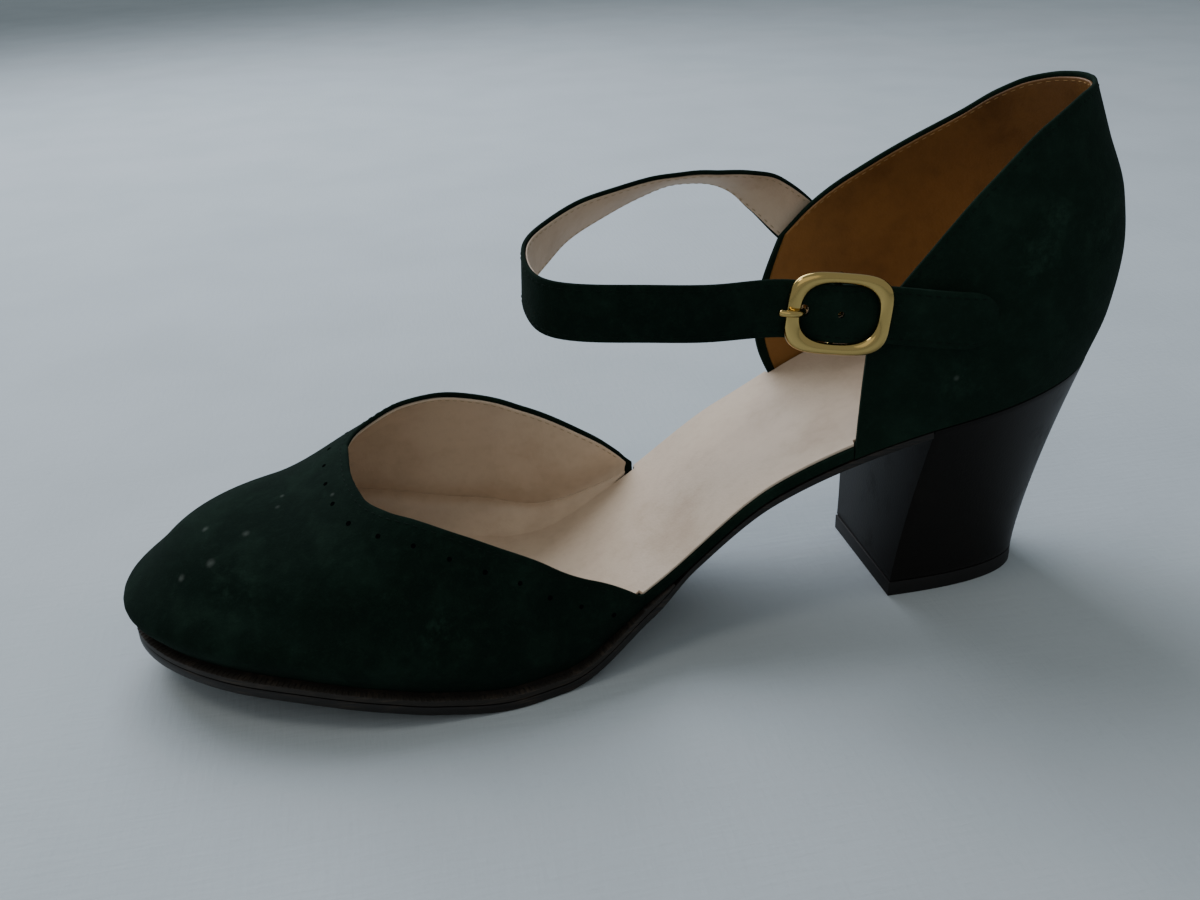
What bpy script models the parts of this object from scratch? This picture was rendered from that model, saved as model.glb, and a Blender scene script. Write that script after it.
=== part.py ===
"""Ankle strap heel for a left foot, as the separate pieces that a maker puts together.

Frame: +X towards the toe, +Y to the shoe's left, which is its outer (lateral) side, +Z up.
The origin is on the floor at the centre of the heel's base. The shoe stands on its heel
and on the ball of its sole.
"""

import math

import bmesh
import bpy
import numpy as np
from mathutils import Vector

MM = 0.001
LATERAL, MEDIAL = 1, -1

# The last, which the upper, insole and sole all follow
LAST_LENGTH = 236 * MM
LAST_BACK = 34 * MM
BALL_WIDTH = 75 * MM
SEAT_HEIGHT = 58.5 * MM
CROWN_HEIGHT = 50 * MM
HEEL_ROUND = 0.20
TOE_ROUND = 0.72
NOSE_ROUND = 0.86
SECTION_POWER = 0.36

# Sole, welt and insole
OUTSOLE_THICKNESS = 2.4 * MM
WAIST_THICKNESS = 1.9 * MM
WELT_THICKNESS = 1.4 * MM
WELT_REACH = 2.8 * MM
WELT_TUCK = 4.0 * MM
INSOLE_THICKNESS = 3.8 * MM
GAP = 0.3 * MM
WELT_FEATHER = 0.4 * MM
EDGE_RAMP = 2.2 * MM
WELT_START, WELT_FADE = 0.455, 0.045
REACH_FADE = 0.12
TOE_TRIM_START, TOE_TRIM = 0.90, 0.35
TREAD_INSET = 0.12

# Upper
UPPER_WALL = 1.8 * MM
VAMP_END_HEIGHT = 4.2 * MM
VAMP_BULGE = 4.2 * MM
BULGE_HEIGHT = 16.5 * MM
BULGE_LOW = 0.75
BACK_HEIGHT = 65 * MM
COUNTER_BULGE = 4.8 * MM
TOP_LEAN = 6.5 * MM
SIDE_LEAN = 2.5 * MM
BACK_REACH = 0.30
COUNTER_SIDE_BULGE = 0.15
COUNTER_SIDE_LEAN = 0.5
SWELL_TURN = 1.2
BOW_POWER = 8

# Heel
HEEL_BASE_WIDTH = 36.5 * MM
HEEL_BASE_LENGTH = 40.5 * MM
TOP_PIECE_THICKNESS = 4.0 * MM
BREAST_LEAN = 4.0 * MM
HEEL_SQUARENESS = 2.7
HEEL_FLARE = 1.4

# Strap, tab and buckle
STRAP_WIDTH = 12.8 * MM
STRAP_THICKNESS = 1.5 * MM
STRAP_REACH = 73 * MM
ANKLE_WIDTH = 56 * MM
STRAP_LIFT = 12 * MM
STRAP_CLIMB = 0.13
FREE_END = 36 * MM
TIP_LENGTH = 7 * MM
TIP_BLUNTNESS = 0.22
STRAP_CHAMFER = 0.28
TAB_SHARE = 0.262
TAB_HEIGHT = 32.4 * MM
TAB_THICKNESS = 1.6 * MM
TAB_WIDTH = 11 * MM
TAB_LENGTH = 21 * MM
TAB_NECK = 3 * MM
BUCKLE_LENGTH = 23.2 * MM
BUCKLE_CORNER = 5.2 * MM
BUCKLE_FORWARD = 14.6 * MM
STRAP_CLEARANCE = 0.3 * MM
BAR_RADIUS = 1.15 * MM
PIN_RADIUS = 0.8 * MM
BAR_BEND = 1.5
PRONG_RADIUS = 0.8 * MM
HOLE_RADIUS = 1.35 * MM
HOLE_SPACING = 8.0 * MM
HOLE_LEAD = 7.6 * MM
HOLE_COUNT = 2
PRONG_OVERHANG = 3.2 * MM
PRONG_DROOP = 0.5 * MM
PRONG_RING = (20, 290)

# The last's sections, from the heel's back to the toe. Along is a share of the length, rise a share
# of the seat's height over the tread, lateral and medial are shares of the ball width, crown is a
# share of the crown height, and crest is how far the ridge lies to the medial side, as a share of
# the ball width.
LAST_SECTIONS = (
    # along, rise, lateral, medial, crown, crest
    (0.00, 1.000, 0.385, 0.385, 1.10, 0.00),
    (0.11, 0.935, 0.385, 0.388, 1.10, 0.02),
    (0.23, 0.845, 0.378, 0.380, 1.10, 0.05),
    (0.37, 0.600, 0.335, 0.325, 1.10, 0.10),
    (0.50, 0.215, 0.385, 0.325, 1.08, 0.14),
    (0.60, 0.000, 0.470, 0.420, 1.10, 0.14),
    (0.65, 0.000, 0.510, 0.470, 1.08, 0.13),
    (0.72, 0.045, 0.525, 0.487, 0.97, 0.11),
    (0.77, 0.095, 0.530, 0.495, 0.80, 0.09),
    (0.86, 0.155, 0.520, 0.490, 0.550, 0.05),
    (0.93, 0.172, 0.508, 0.480, 0.508, 0.02),
    (1.00, 0.185, 0.495, 0.470, 0.490, 0.00),
)

# The throat line of the vamp, from its front point back to where it meets the insole's edge. Around
# is a share of the way, along a share of the last's length, and angle, in degrees, says how far down
# the section the line lies: 0 on the ridge, 90 at the insole's edge.
VAMP_TOPLINE = {
    LATERAL: (
        # around, along, angle
        (0.00, 0.780, 0.0),
        (0.20, 0.779, 14.0),
        (0.38, 0.768, 30.0),
        (0.50, 0.745, 40.5),
        (0.60, 0.702, 50.5),
        (0.70, 0.660, 58.0),
        (0.80, 0.608, 67.5),
        (0.90, 0.557, 78.5),
        (1.00, 0.511, 89.0),
    ),
    MEDIAL: (
        # around, along, angle
        (0.00, 0.780, 0.0),
        (0.20, 0.773, 9.0),
        (0.36, 0.755, 19.0),
        (0.50, 0.718, 24.0),
        (0.60, 0.686, 28.0),
        (0.72, 0.640, 39.5),
        (0.82, 0.585, 51.0),
        (0.92, 0.522, 72.0),
        (1.00, 0.470, 89.0),
    ),
}

# The quarter's top edge, from the back seam forward. Around is a share of the way, along a share of
# the last's length, and height a share of the back height.
QUARTER_TOPLINE = {
    LATERAL: (
        # around, along, height
        (0.00, 0.000, 1.000),
        (0.30, 0.045, 1.000),
        (0.50, 0.110, 0.955),
        (0.70, 0.180, 0.825),
        (0.85, 0.235, 0.665),
        (0.95, 0.268, 0.555),
        (1.00, 0.287, 0.470),
    ),
    MEDIAL: (
        # around, along, height
        (0.00, 0.000, 1.000),
        (0.16, 0.014, 1.000),
        (0.30, 0.041, 0.988),
        (0.42, 0.073, 0.948),
        (0.52, 0.107, 0.885),
        (0.66, 0.160, 0.812),
        (0.80, 0.215, 0.745),
        (0.92, 0.267, 0.685),
        (1.00, 0.303, 0.615),
    ),
}
QUARTER_FOOT = {LATERAL: 0.294, MEDIAL: 0.304}
QUARTER_BOW = {LATERAL: 0.001, MEDIAL: 0.024}

# How far the back of the quarter stands out from the last's edge, up its height: bulge is a share of
# the counter's bulge and lean a share of the inward lean at the top.
COUNTER_SECTIONS = (
    # height, bulge, lean
    (0.00, 0.00, 0.00),
    (0.20, 0.72, 0.00),
    (0.42, 1.00, 0.02),
    (0.62, 0.80, 0.15),
    (0.82, 0.30, 0.55),
    (1.00, 0.00, 1.00),
)

# The strap's loop in front of the ankle, from the medial quarter round to the buckle. Forward is a
# share of the strap's reach, across a share of half the ankle's width, rise a share of its lift, and
# lean, in degrees, tips the strap's top edge inwards.
STRAP_LOOP = (
    # forward, across, rise, lean
    (0.070, -1.020, 0.400, 28.0),
    (0.163, -1.020, 0.710, 55.0),
    (0.280, -1.035, 0.860, 68.0),
    (0.375, -1.030, 0.880, 68.0),
    (0.500, -1.000, 0.770, 58.0),
    (0.645, -0.890, 0.560, 44.0),
    (0.770, -0.710, 0.390, 30.0),
    (0.875, -0.430, 0.190, 15.0),
    (0.970, 0.000, 0.000, 4.0),
    (0.976, 0.390, -0.180, 0.0),
    (0.944, 0.645, -0.230, 0.0),
    (0.827, 0.855, -0.250, 0.0),
    (0.683, 0.930, -0.290, 0.0),
    (0.473, 0.982, -0.370, 0.0),
)

# The strap's root, sewn to the outside of the medial quarter: back is a share of the last's length
# behind the quarter's front edge, and drop a share of the back height under its corner. The loop
# starts from a point a little behind and above that corner.
STRAP_ROOT = (
    # back, drop
    (0.065, 0.160),
    (0.030, 0.022),
)
ROOT_GAP = 1.05 * MM
LOOP_BACK = 2.8 * MM
LOOP_RISE = 3.6 * MM

# How the strap rises over the middle bar, from the front of the frame to its back: forward is a
# share of half the frame's length, and lift a share of the way from lying flat to the crest.
STRAP_HUMP = (
    # forward, lift
    (1.00, 0.0),
    (0.45, 0.5),
    (0.00, 1.0),
    (-0.45, 0.5),
    (-1.00, 0.0),
)

# The free end, from the back of the frame to its tip: back is a share of its length, and outward a
# share of the strap's distance from the quarter where it lies on the tab.
FREE_END_MARKS = (
    # back, outward
    (0.55, 1.12),
    (1.00, 0.80),
)

# The prong's way up through the strap's hole: forward is a share of the hole's distance from the bar,
# and outward a share of the way from the bar to the prong's rest on the frame.
PRONG_RISE = (
    # forward, outward
    (0.50, -0.08),
    (0.86, 0.02),
    (0.99, 0.33),
    (1.12, 0.80),
    (1.25, 0.94),
)

# Mesh fineness
VAMP_RIBS, VAMP_STEPS = 30, 9
QUARTER_RIBS, QUARTER_STEPS = 18, 9
EDGE_STEPS = 36
HEEL_STEPS, HEEL_LEVELS = 14, 6
STRAP_STEPS = 74
WIRE_SIDES = 10
BUCKLE_CORNER_STEPS = 6
EYE_STEPS = 8
RING_STEPS = 10
SHARP_ANGLE = 40


def curve_through(xs, ys):
    """A smooth curve through points that never overshoots them, as a function of x."""
    xs = np.asarray(xs, float)
    ys = np.asarray(ys, float)
    steps = np.diff(xs)
    slopes = np.diff(ys) / steps
    tangents = np.concatenate([slopes[:1], np.zeros(len(slopes) - 1), slopes[-1:]])
    product = slopes[:-1] * slopes[1:]
    total = slopes[:-1] + slopes[1:]
    turning = product <= 0
    tangents[1:-1] = np.where(turning, 0.0, 2 * product / np.where(turning, 1.0, total))

    def value(x):
        x = np.clip(np.asarray(x, float), xs[0], xs[-1])
        i = np.clip(np.searchsorted(xs, x, side="right") - 1, 0, len(steps) - 1)
        t = (x - xs[i]) / steps[i]
        blend = t * t * (3 - 2 * t)
        bend = steps[i] * (t * (1 - t) ** 2 * tangents[i] - t * t * (1 - t) * tangents[i + 1])
        return ys[i] * (1 - blend) + ys[i + 1] * blend + bend

    return value


def column(table, index):
    """One column of a table as a smooth function of its first column."""
    return curve_through([row[0] for row in table], [row[index] for row in table])


RISE = column(LAST_SECTIONS, 1)
HALF_WIDTH = {LATERAL: column(LAST_SECTIONS, 2), MEDIAL: column(LAST_SECTIONS, 3)}
CROWN = column(LAST_SECTIONS, 4)
CREST = column(LAST_SECTIONS, 5)
TREAD_HEIGHT = OUTSOLE_THICKNESS + WELT_THICKNESS + 2 * GAP


def length_at(along):
    """X of a share of the last's length."""
    return -LAST_BACK + along * LAST_LENGTH


def share_at(x):
    """Share of the last's length at an X."""
    return (x + LAST_BACK) / LAST_LENGTH


def bottom_at(along):
    """Height of the last's bottom, where upper and insole meet the sole."""
    return TREAD_HEIGHT + RISE(along) * (SEAT_HEIGHT - TREAD_HEIGHT)


def edge_at(along, side):
    """Y of the last's edge."""
    heel = np.clip((HEEL_ROUND - along) / HEEL_ROUND, 0, 1)
    toe = np.clip((along - TOE_ROUND) / (1 - TOE_ROUND), 0, 1)
    rounding = np.sqrt(1 - heel**2) * np.sqrt(1 - toe**2)
    return side * HALF_WIDTH[side](along) * BALL_WIDTH * rounding


def crest_at(along):
    """Y of the last's ridge, which lies to the medial side."""
    return -CREST(along) * BALL_WIDTH


def crown_at(along):
    """Height of the last's ridge over its bottom."""
    nose = np.clip((along - NOSE_ROUND) / (1 - NOSE_ROUND), 0, 1)
    return CROWN(along) * CROWN_HEIGHT * np.sqrt(1 - nose**2.4)


def outward_at(along, side):
    """Unit vector in plan that points out of the last's edge."""
    step = 0.002
    before = np.clip(along - step, 0, 1)
    after = np.clip(along + step, 0, 1)
    dx = length_at(after) - length_at(before)
    dy = edge_at(after, side) - edge_at(before, side)
    at_toe = along > 1 - step / 2
    at_heel = along < step / 2
    nx = np.where(at_toe, 1.0, np.where(at_heel, -1.0, -dy * side))
    ny = np.where(at_toe | at_heel, 0.0, dx * side)
    size = np.hypot(nx, ny)
    return nx / size, ny / size


def edge_plan(along, side, outset):
    """X and Y beside the last's edge, an outset away from it in plan."""
    nx, ny = outward_at(along, side)
    return length_at(along) + nx * outset, edge_at(along, side) + ny * outset


def edge_points(along, side, outset, surface):
    """Points beside the last's edge, at the height that a surface has over their own X."""
    x, y = edge_plan(along, side, outset)
    return np.stack(np.broadcast_arrays(x, y, surface(share_at(x))), axis=-1)


def stations(start=0.0):
    """Shares of the length from start to the toe, closer together at both ends of the last."""
    whole = 0.5 - 0.5 * np.cos(np.linspace(0, np.pi, 2 * EDGE_STEPS + 1))
    spacing = whole[EDGE_STEPS + 1] - whole[EDGE_STEPS]
    if start == 0:
        return whole
    return np.concatenate([[start], whole[whole > start + spacing / 3]])


def new_mesh_object(name, build):
    """A mesh object in the shoe's collection, filled by build, which is given its bmesh."""
    mesh = bpy.data.meshes.new(name)
    shape = bmesh.new()
    build(shape)
    bmesh.ops.remove_doubles(shape, verts=shape.verts, dist=1e-6)
    bmesh.ops.dissolve_degenerate(shape, edges=shape.edges, dist=1e-7)
    bmesh.ops.recalc_face_normals(shape, faces=shape.faces)
    shape.to_mesh(mesh)
    shape.free()
    obj = bpy.data.objects.new(name, mesh)
    PARTS.objects.link(obj)
    return obj


def loft(name, rings):
    """A closed solid through rings of points, with each end closed by strips across it."""
    rings = np.asarray(rings, float)
    sides = rings.shape[1]

    def build(shape):
        verts = [[shape.verts.new(point) for point in ring] for ring in rings]
        for lower, upper in zip(verts[:-1], verts[1:]):
            for i in range(sides):
                j = (i + 1) % sides
                shape.faces.new((lower[i], lower[j], upper[j], upper[i]))
        for ring in (verts[0], verts[-1]):
            for i in range((sides - 1) // 2):
                strip = [ring[i], ring[i + 1], ring[sides - 2 - i], ring[sides - 1 - i]]
                shape.faces.new(list(dict.fromkeys(strip)))

    return new_mesh_object(name, build)


def shell(name, grid, wall):
    """A wall of even thickness whose outer face is a grid of points."""
    rows, steps = grid.shape[:2]

    def build(shape):
        verts = [[shape.verts.new(point) for point in row] for row in grid]
        for i in range(rows - 1):
            for j in range(steps - 1):
                corners = (verts[i][j], verts[i + 1][j], verts[i + 1][j + 1], verts[i][j + 1])
                shape.faces.new(corners)

    obj = new_mesh_object(name, build)
    face_outwards(obj)
    thickness = obj.modifiers.new("Wall", "SOLIDIFY")
    thickness.thickness = wall
    thickness.offset = -1
    thickness.use_even_offset = True
    thickness.use_rim = True
    return obj


def face_outwards(obj):
    """Turns an open surface so that its faces point away from the foot."""
    mesh = obj.data
    centre = sum((v.co for v in mesh.vertices), Vector()) / len(mesh.vertices)
    outward = sum(face.normal.dot(face.center - centre) * face.area for face in mesh.polygons)
    if outward < 0:
        mesh.flip_normals()


def tube(name, points, radius, cyclic=False):
    """A round wire along points, as a mesh."""
    curve = bpy.data.curves.new(name, "CURVE")
    curve.dimensions = "3D"
    curve.bevel_depth = radius
    curve.bevel_resolution = WIRE_SIDES // 2 - 2
    curve.use_fill_caps = not cyclic
    spline = curve.splines.new("POLY")
    spline.points.add(len(points) - 1)
    for knot, point in zip(spline.points, points):
        knot.co = (*point, 1)
    spline.use_cyclic_u = cyclic
    wire = bpy.data.objects.new(name + "_wire", curve)
    PARTS.objects.link(wire)
    graph = bpy.context.evaluated_depsgraph_get()
    mesh = bpy.data.meshes.new_from_object(wire.evaluated_get(graph))
    bpy.data.objects.remove(wire)
    shape = bmesh.new()
    shape.from_mesh(mesh)
    bmesh.ops.remove_doubles(shape, verts=shape.verts, dist=1e-6)
    bmesh.ops.recalc_face_normals(shape, faces=shape.faces)
    shape.to_mesh(mesh)
    shape.free()
    mesh.name = name
    obj = bpy.data.objects.new(name, mesh)
    PARTS.objects.link(obj)
    return obj


def cutter(obj):
    """Makes an object a helper that only cuts or joins."""
    PARTS.objects.unlink(obj)
    CUTTERS.objects.link(obj)
    obj.hide_render = True
    obj.display_type = "WIRE"
    return obj


def combine(obj, other, operation):
    """Cuts another solid from an object, or joins it on."""
    boolean = obj.modifiers.new(other.name, "BOOLEAN")
    boolean.operation = operation
    boolean.solver = "EXACT"
    boolean.object = cutter(other)


def material(obj, name, colour, roughness, metallic=0.0):
    """Gives an object a plain finish."""
    finish = bpy.data.materials.get(name) or bpy.data.materials.new(name)
    finish.use_nodes = True
    shader = finish.node_tree.nodes["Principled BSDF"]
    shader.inputs["Base Color"].default_value = (*colour, 1)
    shader.inputs["Roughness"].default_value = roughness
    shader.inputs["Metallic"].default_value = metallic
    obj.data.materials.clear()
    obj.data.materials.append(finish)


def suede(obj):
    material(obj, "bottle_green_suede", (0.006, 0.018, 0.013), 0.95)


def gilt(obj):
    material(obj, "gilt_brass", (0.75, 0.55, 0.24), 0.22, 1.0)


# Vamp


def vamp_surface(x, y):
    """Height of the vamp's outer face over a point in plan."""
    along = np.clip(share_at(x), 0, 1)
    crest = crest_at(along)
    side = np.where(y >= crest, LATERAL, MEDIAL)
    edge = np.where(side == LATERAL, edge_at(along, LATERAL), edge_at(along, MEDIAL))
    across = np.clip((y - crest) / np.where(np.abs(edge - crest) < 1e-6, side * 1e-6, edge - crest), 0, 1)
    return bottom_at(along) + crown_at(along) * (1 - across**2) ** SECTION_POWER


def swell_over(above, around):
    """How far the vamp bulges out over its foot, at a height above the last's bottom."""
    share = np.clip(above / BULGE_HEIGHT, 0, 1)
    return VAMP_BULGE * np.sin(np.pi * share**BULGE_LOW) ** 2 * math.cos(around * SWELL_TURN)


def vamp_rib(side, around, steps):
    """Points of the vamp's outer face from the insole's edge up to the throat line."""
    line = VAMP_TOPLINE[side]
    foot_end = line[-1][1]
    foot = 1 - (1 - foot_end) * (1 - math.cos(around * math.pi / 2))
    along = float(column(line, 1)(around))
    angle = math.radians(float(column(line, 2)(around)))
    crest = float(crest_at(along))
    top = np.array([length_at(along), crest + (edge_at(along, side) - crest) * math.sin(angle)])
    start = np.array(edge_plan(foot, side, 0))
    rise = np.linspace(0, 1, steps + 1)
    plan = start + (top - start) * (1 - np.cos(rise * np.pi / 2))[:, None]
    height = vamp_surface(plan[:, 0], plan[:, 1])
    height[0] = bottom_at(foot)
    least = VAMP_END_HEIGHT * rise + bottom_at(foot)
    height = np.maximum(height, least)
    swell = swell_over(height - bottom_at(share_at(plan[:, 0])), around)
    nx, ny = outward_at(np.array(foot), side)
    plan = plan + swell[:, None] * np.array([nx, ny])
    return np.column_stack([plan, height])


def make_vamp():
    """The vamp: one shell over the toes, open at the throat, at the waist and underneath."""
    shares = np.linspace(0, 1, VAMP_RIBS + 1)
    lateral = [vamp_rib(LATERAL, share, VAMP_STEPS) for share in shares[::-1]]
    medial = [vamp_rib(MEDIAL, share, VAMP_STEPS) for share in shares[1:]]
    suede(shell("vamp", np.array(lateral + medial), UPPER_WALL))


# Quarter

COUNTER_OUT = column(COUNTER_SECTIONS, 1)
COUNTER_IN = column(COUNTER_SECTIONS, 2)


def quarter_point(side, along, height, outset=0.0):
    """A point on the quarter's outer face, at a height over the last's bottom."""
    share = height / BACK_HEIGHT
    back = 1 - np.clip(along / BACK_REACH, 0, 1)
    back = back * back * (3 - 2 * back)
    swell = COUNTER_BULGE * COUNTER_OUT(share) * (COUNTER_SIDE_BULGE + (1 - COUNTER_SIDE_BULGE) * back)
    lean = TOP_LEAN * COUNTER_IN(share) * (COUNTER_SIDE_LEAN + (1 - COUNTER_SIDE_LEAN) * back)
    lean = lean + SIDE_LEAN * share * (1 - back)
    x, y = edge_plan(along, side, swell - lean + outset)
    return np.stack(np.broadcast_arrays(x, y, bottom_at(along) + height), axis=-1)


def quarter_rib(side, around, steps):
    """Points of the quarter's outer face from the insole's edge up to the top edge."""
    line = QUARTER_TOPLINE[side]
    foot = QUARTER_FOOT[side] * (1 - math.cos(around * math.pi / 2))
    along = float(column(line, 1)(around))
    top = float(column(line, 2)(around)) * BACK_HEIGHT
    rise = np.linspace(0, 1, steps + 1)
    bow = QUARTER_BOW[side] * around**BOW_POWER * np.sin(np.pi * rise)
    return quarter_point(side, foot + (along - foot) * rise + bow, top * rise)


def make_quarter():
    """The quarter: one shell round the heel, open on top, in front and underneath."""
    shares = np.linspace(0, 1, QUARTER_RIBS + 1)
    lateral = [quarter_rib(LATERAL, share, QUARTER_STEPS) for share in shares[::-1]]
    medial = [quarter_rib(MEDIAL, share, QUARTER_STEPS) for share in shares[1:]]
    suede(shell("quarter", np.array(lateral + medial), UPPER_WALL))


# Insole, welt and outsole


def upper_ends(side):
    """Shares of the length where the quarter stops and the vamp starts, on one side."""
    return QUARTER_FOOT[side], VAMP_TOPLINE[side][-1][1]


def covered(along, side):
    """1 where the upper stands beside the insole, 0 at the open waist, with a short ramp between."""
    ramp = EDGE_RAMP / LAST_LENGTH
    quarter_end, vamp_start = upper_ends(side)
    back = np.clip((quarter_end + 2 * ramp - along) / ramp, 0, 1)
    front = np.clip((along - vamp_start + 2 * ramp) / ramp, 0, 1)
    return np.maximum(back, front)


def waist_shares():
    """Shares of the length where the insole's edge steps in beside the upper."""
    ramp = EDGE_RAMP / LAST_LENGTH
    found = []
    for side in (LATERAL, MEDIAL):
        quarter_end, vamp_start = upper_ends(side)
        found += [quarter_end + ramp, quarter_end + 2 * ramp]
        found += [vamp_start - 2 * ramp, vamp_start - ramp]
    return np.array(found)


def make_insole():
    """The insole with its sock: it fills the upper and shows its edge at the open waist."""
    along = np.unique(np.concatenate([stations(), waist_shares()]))
    inset = UPPER_WALL + GAP
    edges = {}
    for side in (LATERAL, MEDIAL):
        for level in (0, INSOLE_THICKNESS):
            outset = -inset * covered(along, side)
            edges[side, level] = edge_points(along, side, outset, lambda share: bottom_at(share) + level)
    rings = []
    for i in range(len(along)):
        ring = [edges[LATERAL, 0][i], edges[LATERAL, INSOLE_THICKNESS][i]]
        ring += [edges[MEDIAL, INSOLE_THICKNESS][i], edges[MEDIAL, 0][i]]
        rings.append(ring)
    obj = loft("insole", rings)
    material(obj, "pink_beige_leather", (0.42, 0.30, 0.25), 0.55)


def welt_share(along):
    """How much of the welt there is under the upper: 0 at the waist, 1 from the ball forward."""
    t = np.clip((along - WELT_START) / WELT_FADE, 0, 1)
    return t * t * (3 - 2 * t)


def sole_top(along):
    """Height of the outsole's top face."""
    return bottom_at(along) - GAP - welt_share(along) * (WELT_THICKNESS + GAP)


def sole_bottom(along):
    """Height of the outsole's underside: it is thin at the waist, and full under the welt."""
    thickness = WAIST_THICKNESS + (OUTSOLE_THICKNESS - WAIST_THICKNESS) * welt_share(along)
    return sole_top(along) - thickness


def welt_top(along):
    """Height of the welt's top face, under the upper and the insole."""
    return bottom_at(along) - GAP


def welt_bottom(along):
    """Height of the welt's underside, on the outsole."""
    return np.minimum(sole_top(along) + GAP, welt_top(along) - WELT_FEATHER)


def sole_reach(along):
    """How far the sole stands out beyond the upper."""
    t = np.clip((along - WELT_START) / REACH_FADE, 0, 1)
    toe = np.clip((along - TOE_TRIM_START) / (1 - TOE_TRIM_START), 0, 1)
    return WELT_REACH * t * t * (3 - 2 * t) * (1 - TOE_TRIM * toe)


def make_outsole():
    """The outsole, from the heel's breast to the toe, thin and flush at the waist."""
    start = breast_share() + GAP / LAST_LENGTH
    flat = [row[0] for row in LAST_SECTIONS if row[1] == 0]
    inset = TREAD_INSET * (flat[-1] - flat[0])
    along = np.unique(np.concatenate([stations(start), [flat[0] + inset, flat[-1] - inset]]))
    edges = {}
    for side in (LATERAL, MEDIAL):
        edges[side, 1] = edge_points(along, side, sole_reach(along), sole_top)
        edges[side, 0] = edge_points(along, side, sole_reach(along), sole_bottom)
    rings = []
    for i in range(len(along)):
        ring = [edges[LATERAL, 0][i], edges[LATERAL, 1][i], edges[MEDIAL, 1][i], edges[MEDIAL, 0][i]]
        rings.append(ring)
    obj = loft("outsole", rings)
    material(obj, "dark_brown_sole_leather", (0.035, 0.024, 0.018), 0.6)


def make_welt():
    """The welt: a strip round the forepart, between upper and outsole."""
    along = stations(WELT_START + WELT_FADE / 2)
    rings = []
    for side in (LATERAL, MEDIAL):
        corners = [
            edge_points(along, side, sole_reach(along), welt_top),
            edge_points(along, side, sole_reach(along), welt_bottom),
            edge_points(along, side, -WELT_TUCK, welt_bottom),
            edge_points(along, side, -WELT_TUCK, welt_top),
        ]
        part = np.stack(corners, axis=1)
        rings.append(part if side == LATERAL else part[::-1][1:])
    obj = loft("welt", np.concatenate(rings))
    material(obj, "brown_welt_leather", (0.05, 0.038, 0.03), 0.7)


# Heel


def breast_x(height):
    """X of the heel's front face at a height."""
    return HEEL_BASE_LENGTH / 2 - BREAST_LEAN * height / SEAT_HEIGHT


def breast_share():
    """Share of the last's length where the heel's front face meets the seat."""
    share = share_at(HEEL_BASE_LENGTH / 2)
    for _ in range(5):
        share = float(share_at(breast_x(bottom_at(share))))
    return share


def heel_base(height, steps):
    """The heel's outline at its foot: straight in front, rounded behind."""
    turn = np.linspace(np.pi / 2, -np.pi / 2, 2 * steps + 1)
    power = 2 / HEEL_SQUARENESS
    x = HEEL_BASE_LENGTH / 2 - HEEL_BASE_LENGTH * np.abs(np.cos(turn)) ** power
    y = HEEL_BASE_WIDTH / 2 * np.sign(np.sin(turn)) * np.abs(np.sin(turn)) ** power
    return np.stack(np.broadcast_arrays(x, y, height), axis=-1)


def heel_top(steps):
    """The heel's outline at the seat, along the last's edge, a gap under its bottom."""
    turn = np.linspace(0, np.pi / 2, steps + 1)
    along = breast_share() * (1 - np.cos(turn))
    lateral = edge_points(along, LATERAL, 0, welt_top)
    medial = edge_points(along, MEDIAL, 0, welt_top)
    return np.concatenate([lateral[::-1], medial[1:]])


def make_heel():
    """The covered heel block, from its D-shaped foot up to the seat."""
    low = heel_base(TOP_PIECE_THICKNESS + GAP, HEEL_STEPS)
    high = heel_top(HEEL_STEPS)
    rings = []
    for level in np.linspace(0, 1, HEEL_LEVELS + 1):
        ring = low + (high - low) * np.array([level**HEEL_FLARE, level**HEEL_FLARE, level])[:, None].T
        ends = [0, len(ring) - 1]
        ring[ends, 0] = breast_x(ring[ends, 2])
        rings.append(ring)
    obj = loft("heel_block", rings)
    material(obj, "dark_brown_heel_cover", (0.012, 0.006, 0.005), 0.3)
    piece = loft("heel_top_piece", [heel_base(level, HEEL_STEPS) for level in (0.0, TOP_PIECE_THICKNESS)])
    material(piece, "black_heel_rubber", (0.012, 0.011, 0.011), 0.6)


# Strap, tab and buckle

BAR_OUT = GAP + TAB_THICKNESS / 2
EYE_RADIUS = PIN_RADIUS + 2 * PRONG_RADIUS + GAP
STRAP_OUT = GAP + TAB_THICKNESS + GAP + STRAP_THICKNESS / 2
STRAP_CREST = BAR_OUT + EYE_RADIUS + GAP + STRAP_THICKNESS / 2
FRAME_OUT = STRAP_OUT + STRAP_THICKNESS / 2 + GAP + BAR_RADIUS
FRAME_HALF = BUCKLE_LENGTH / 2 - BAR_RADIUS
FRAME_SIDE = STRAP_WIDTH / 2 + STRAP_CLEARANCE + BAR_RADIUS


def buckle_frame():
    """Origin and axes of the buckle: along the strap, out from the foot, and across the strap."""
    here = Vector(quarter_point(LATERAL, TAB_SHARE, TAB_HEIGHT))
    behind = Vector(quarter_point(LATERAL, TAB_SHARE - TAB_LENGTH / 2 / LAST_LENGTH, TAB_HEIGHT))
    below = Vector(quarter_point(LATERAL, TAB_SHARE, TAB_HEIGHT - TAB_WIDTH / 2))
    slope = (here.y - behind.y) / (here.x - behind.x)
    along = Vector((1, slope, STRAP_CLIMB)).normalized()
    out = (here - below).cross(along).normalized()
    across = along.cross(out)
    return here, along, out, across


def place(forward, outward, sideways):
    """A point by its distances from where the tab meets the quarter."""
    origin, along, out, across = buckle_frame()
    return origin + along * forward + out * outward + across * sideways


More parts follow.
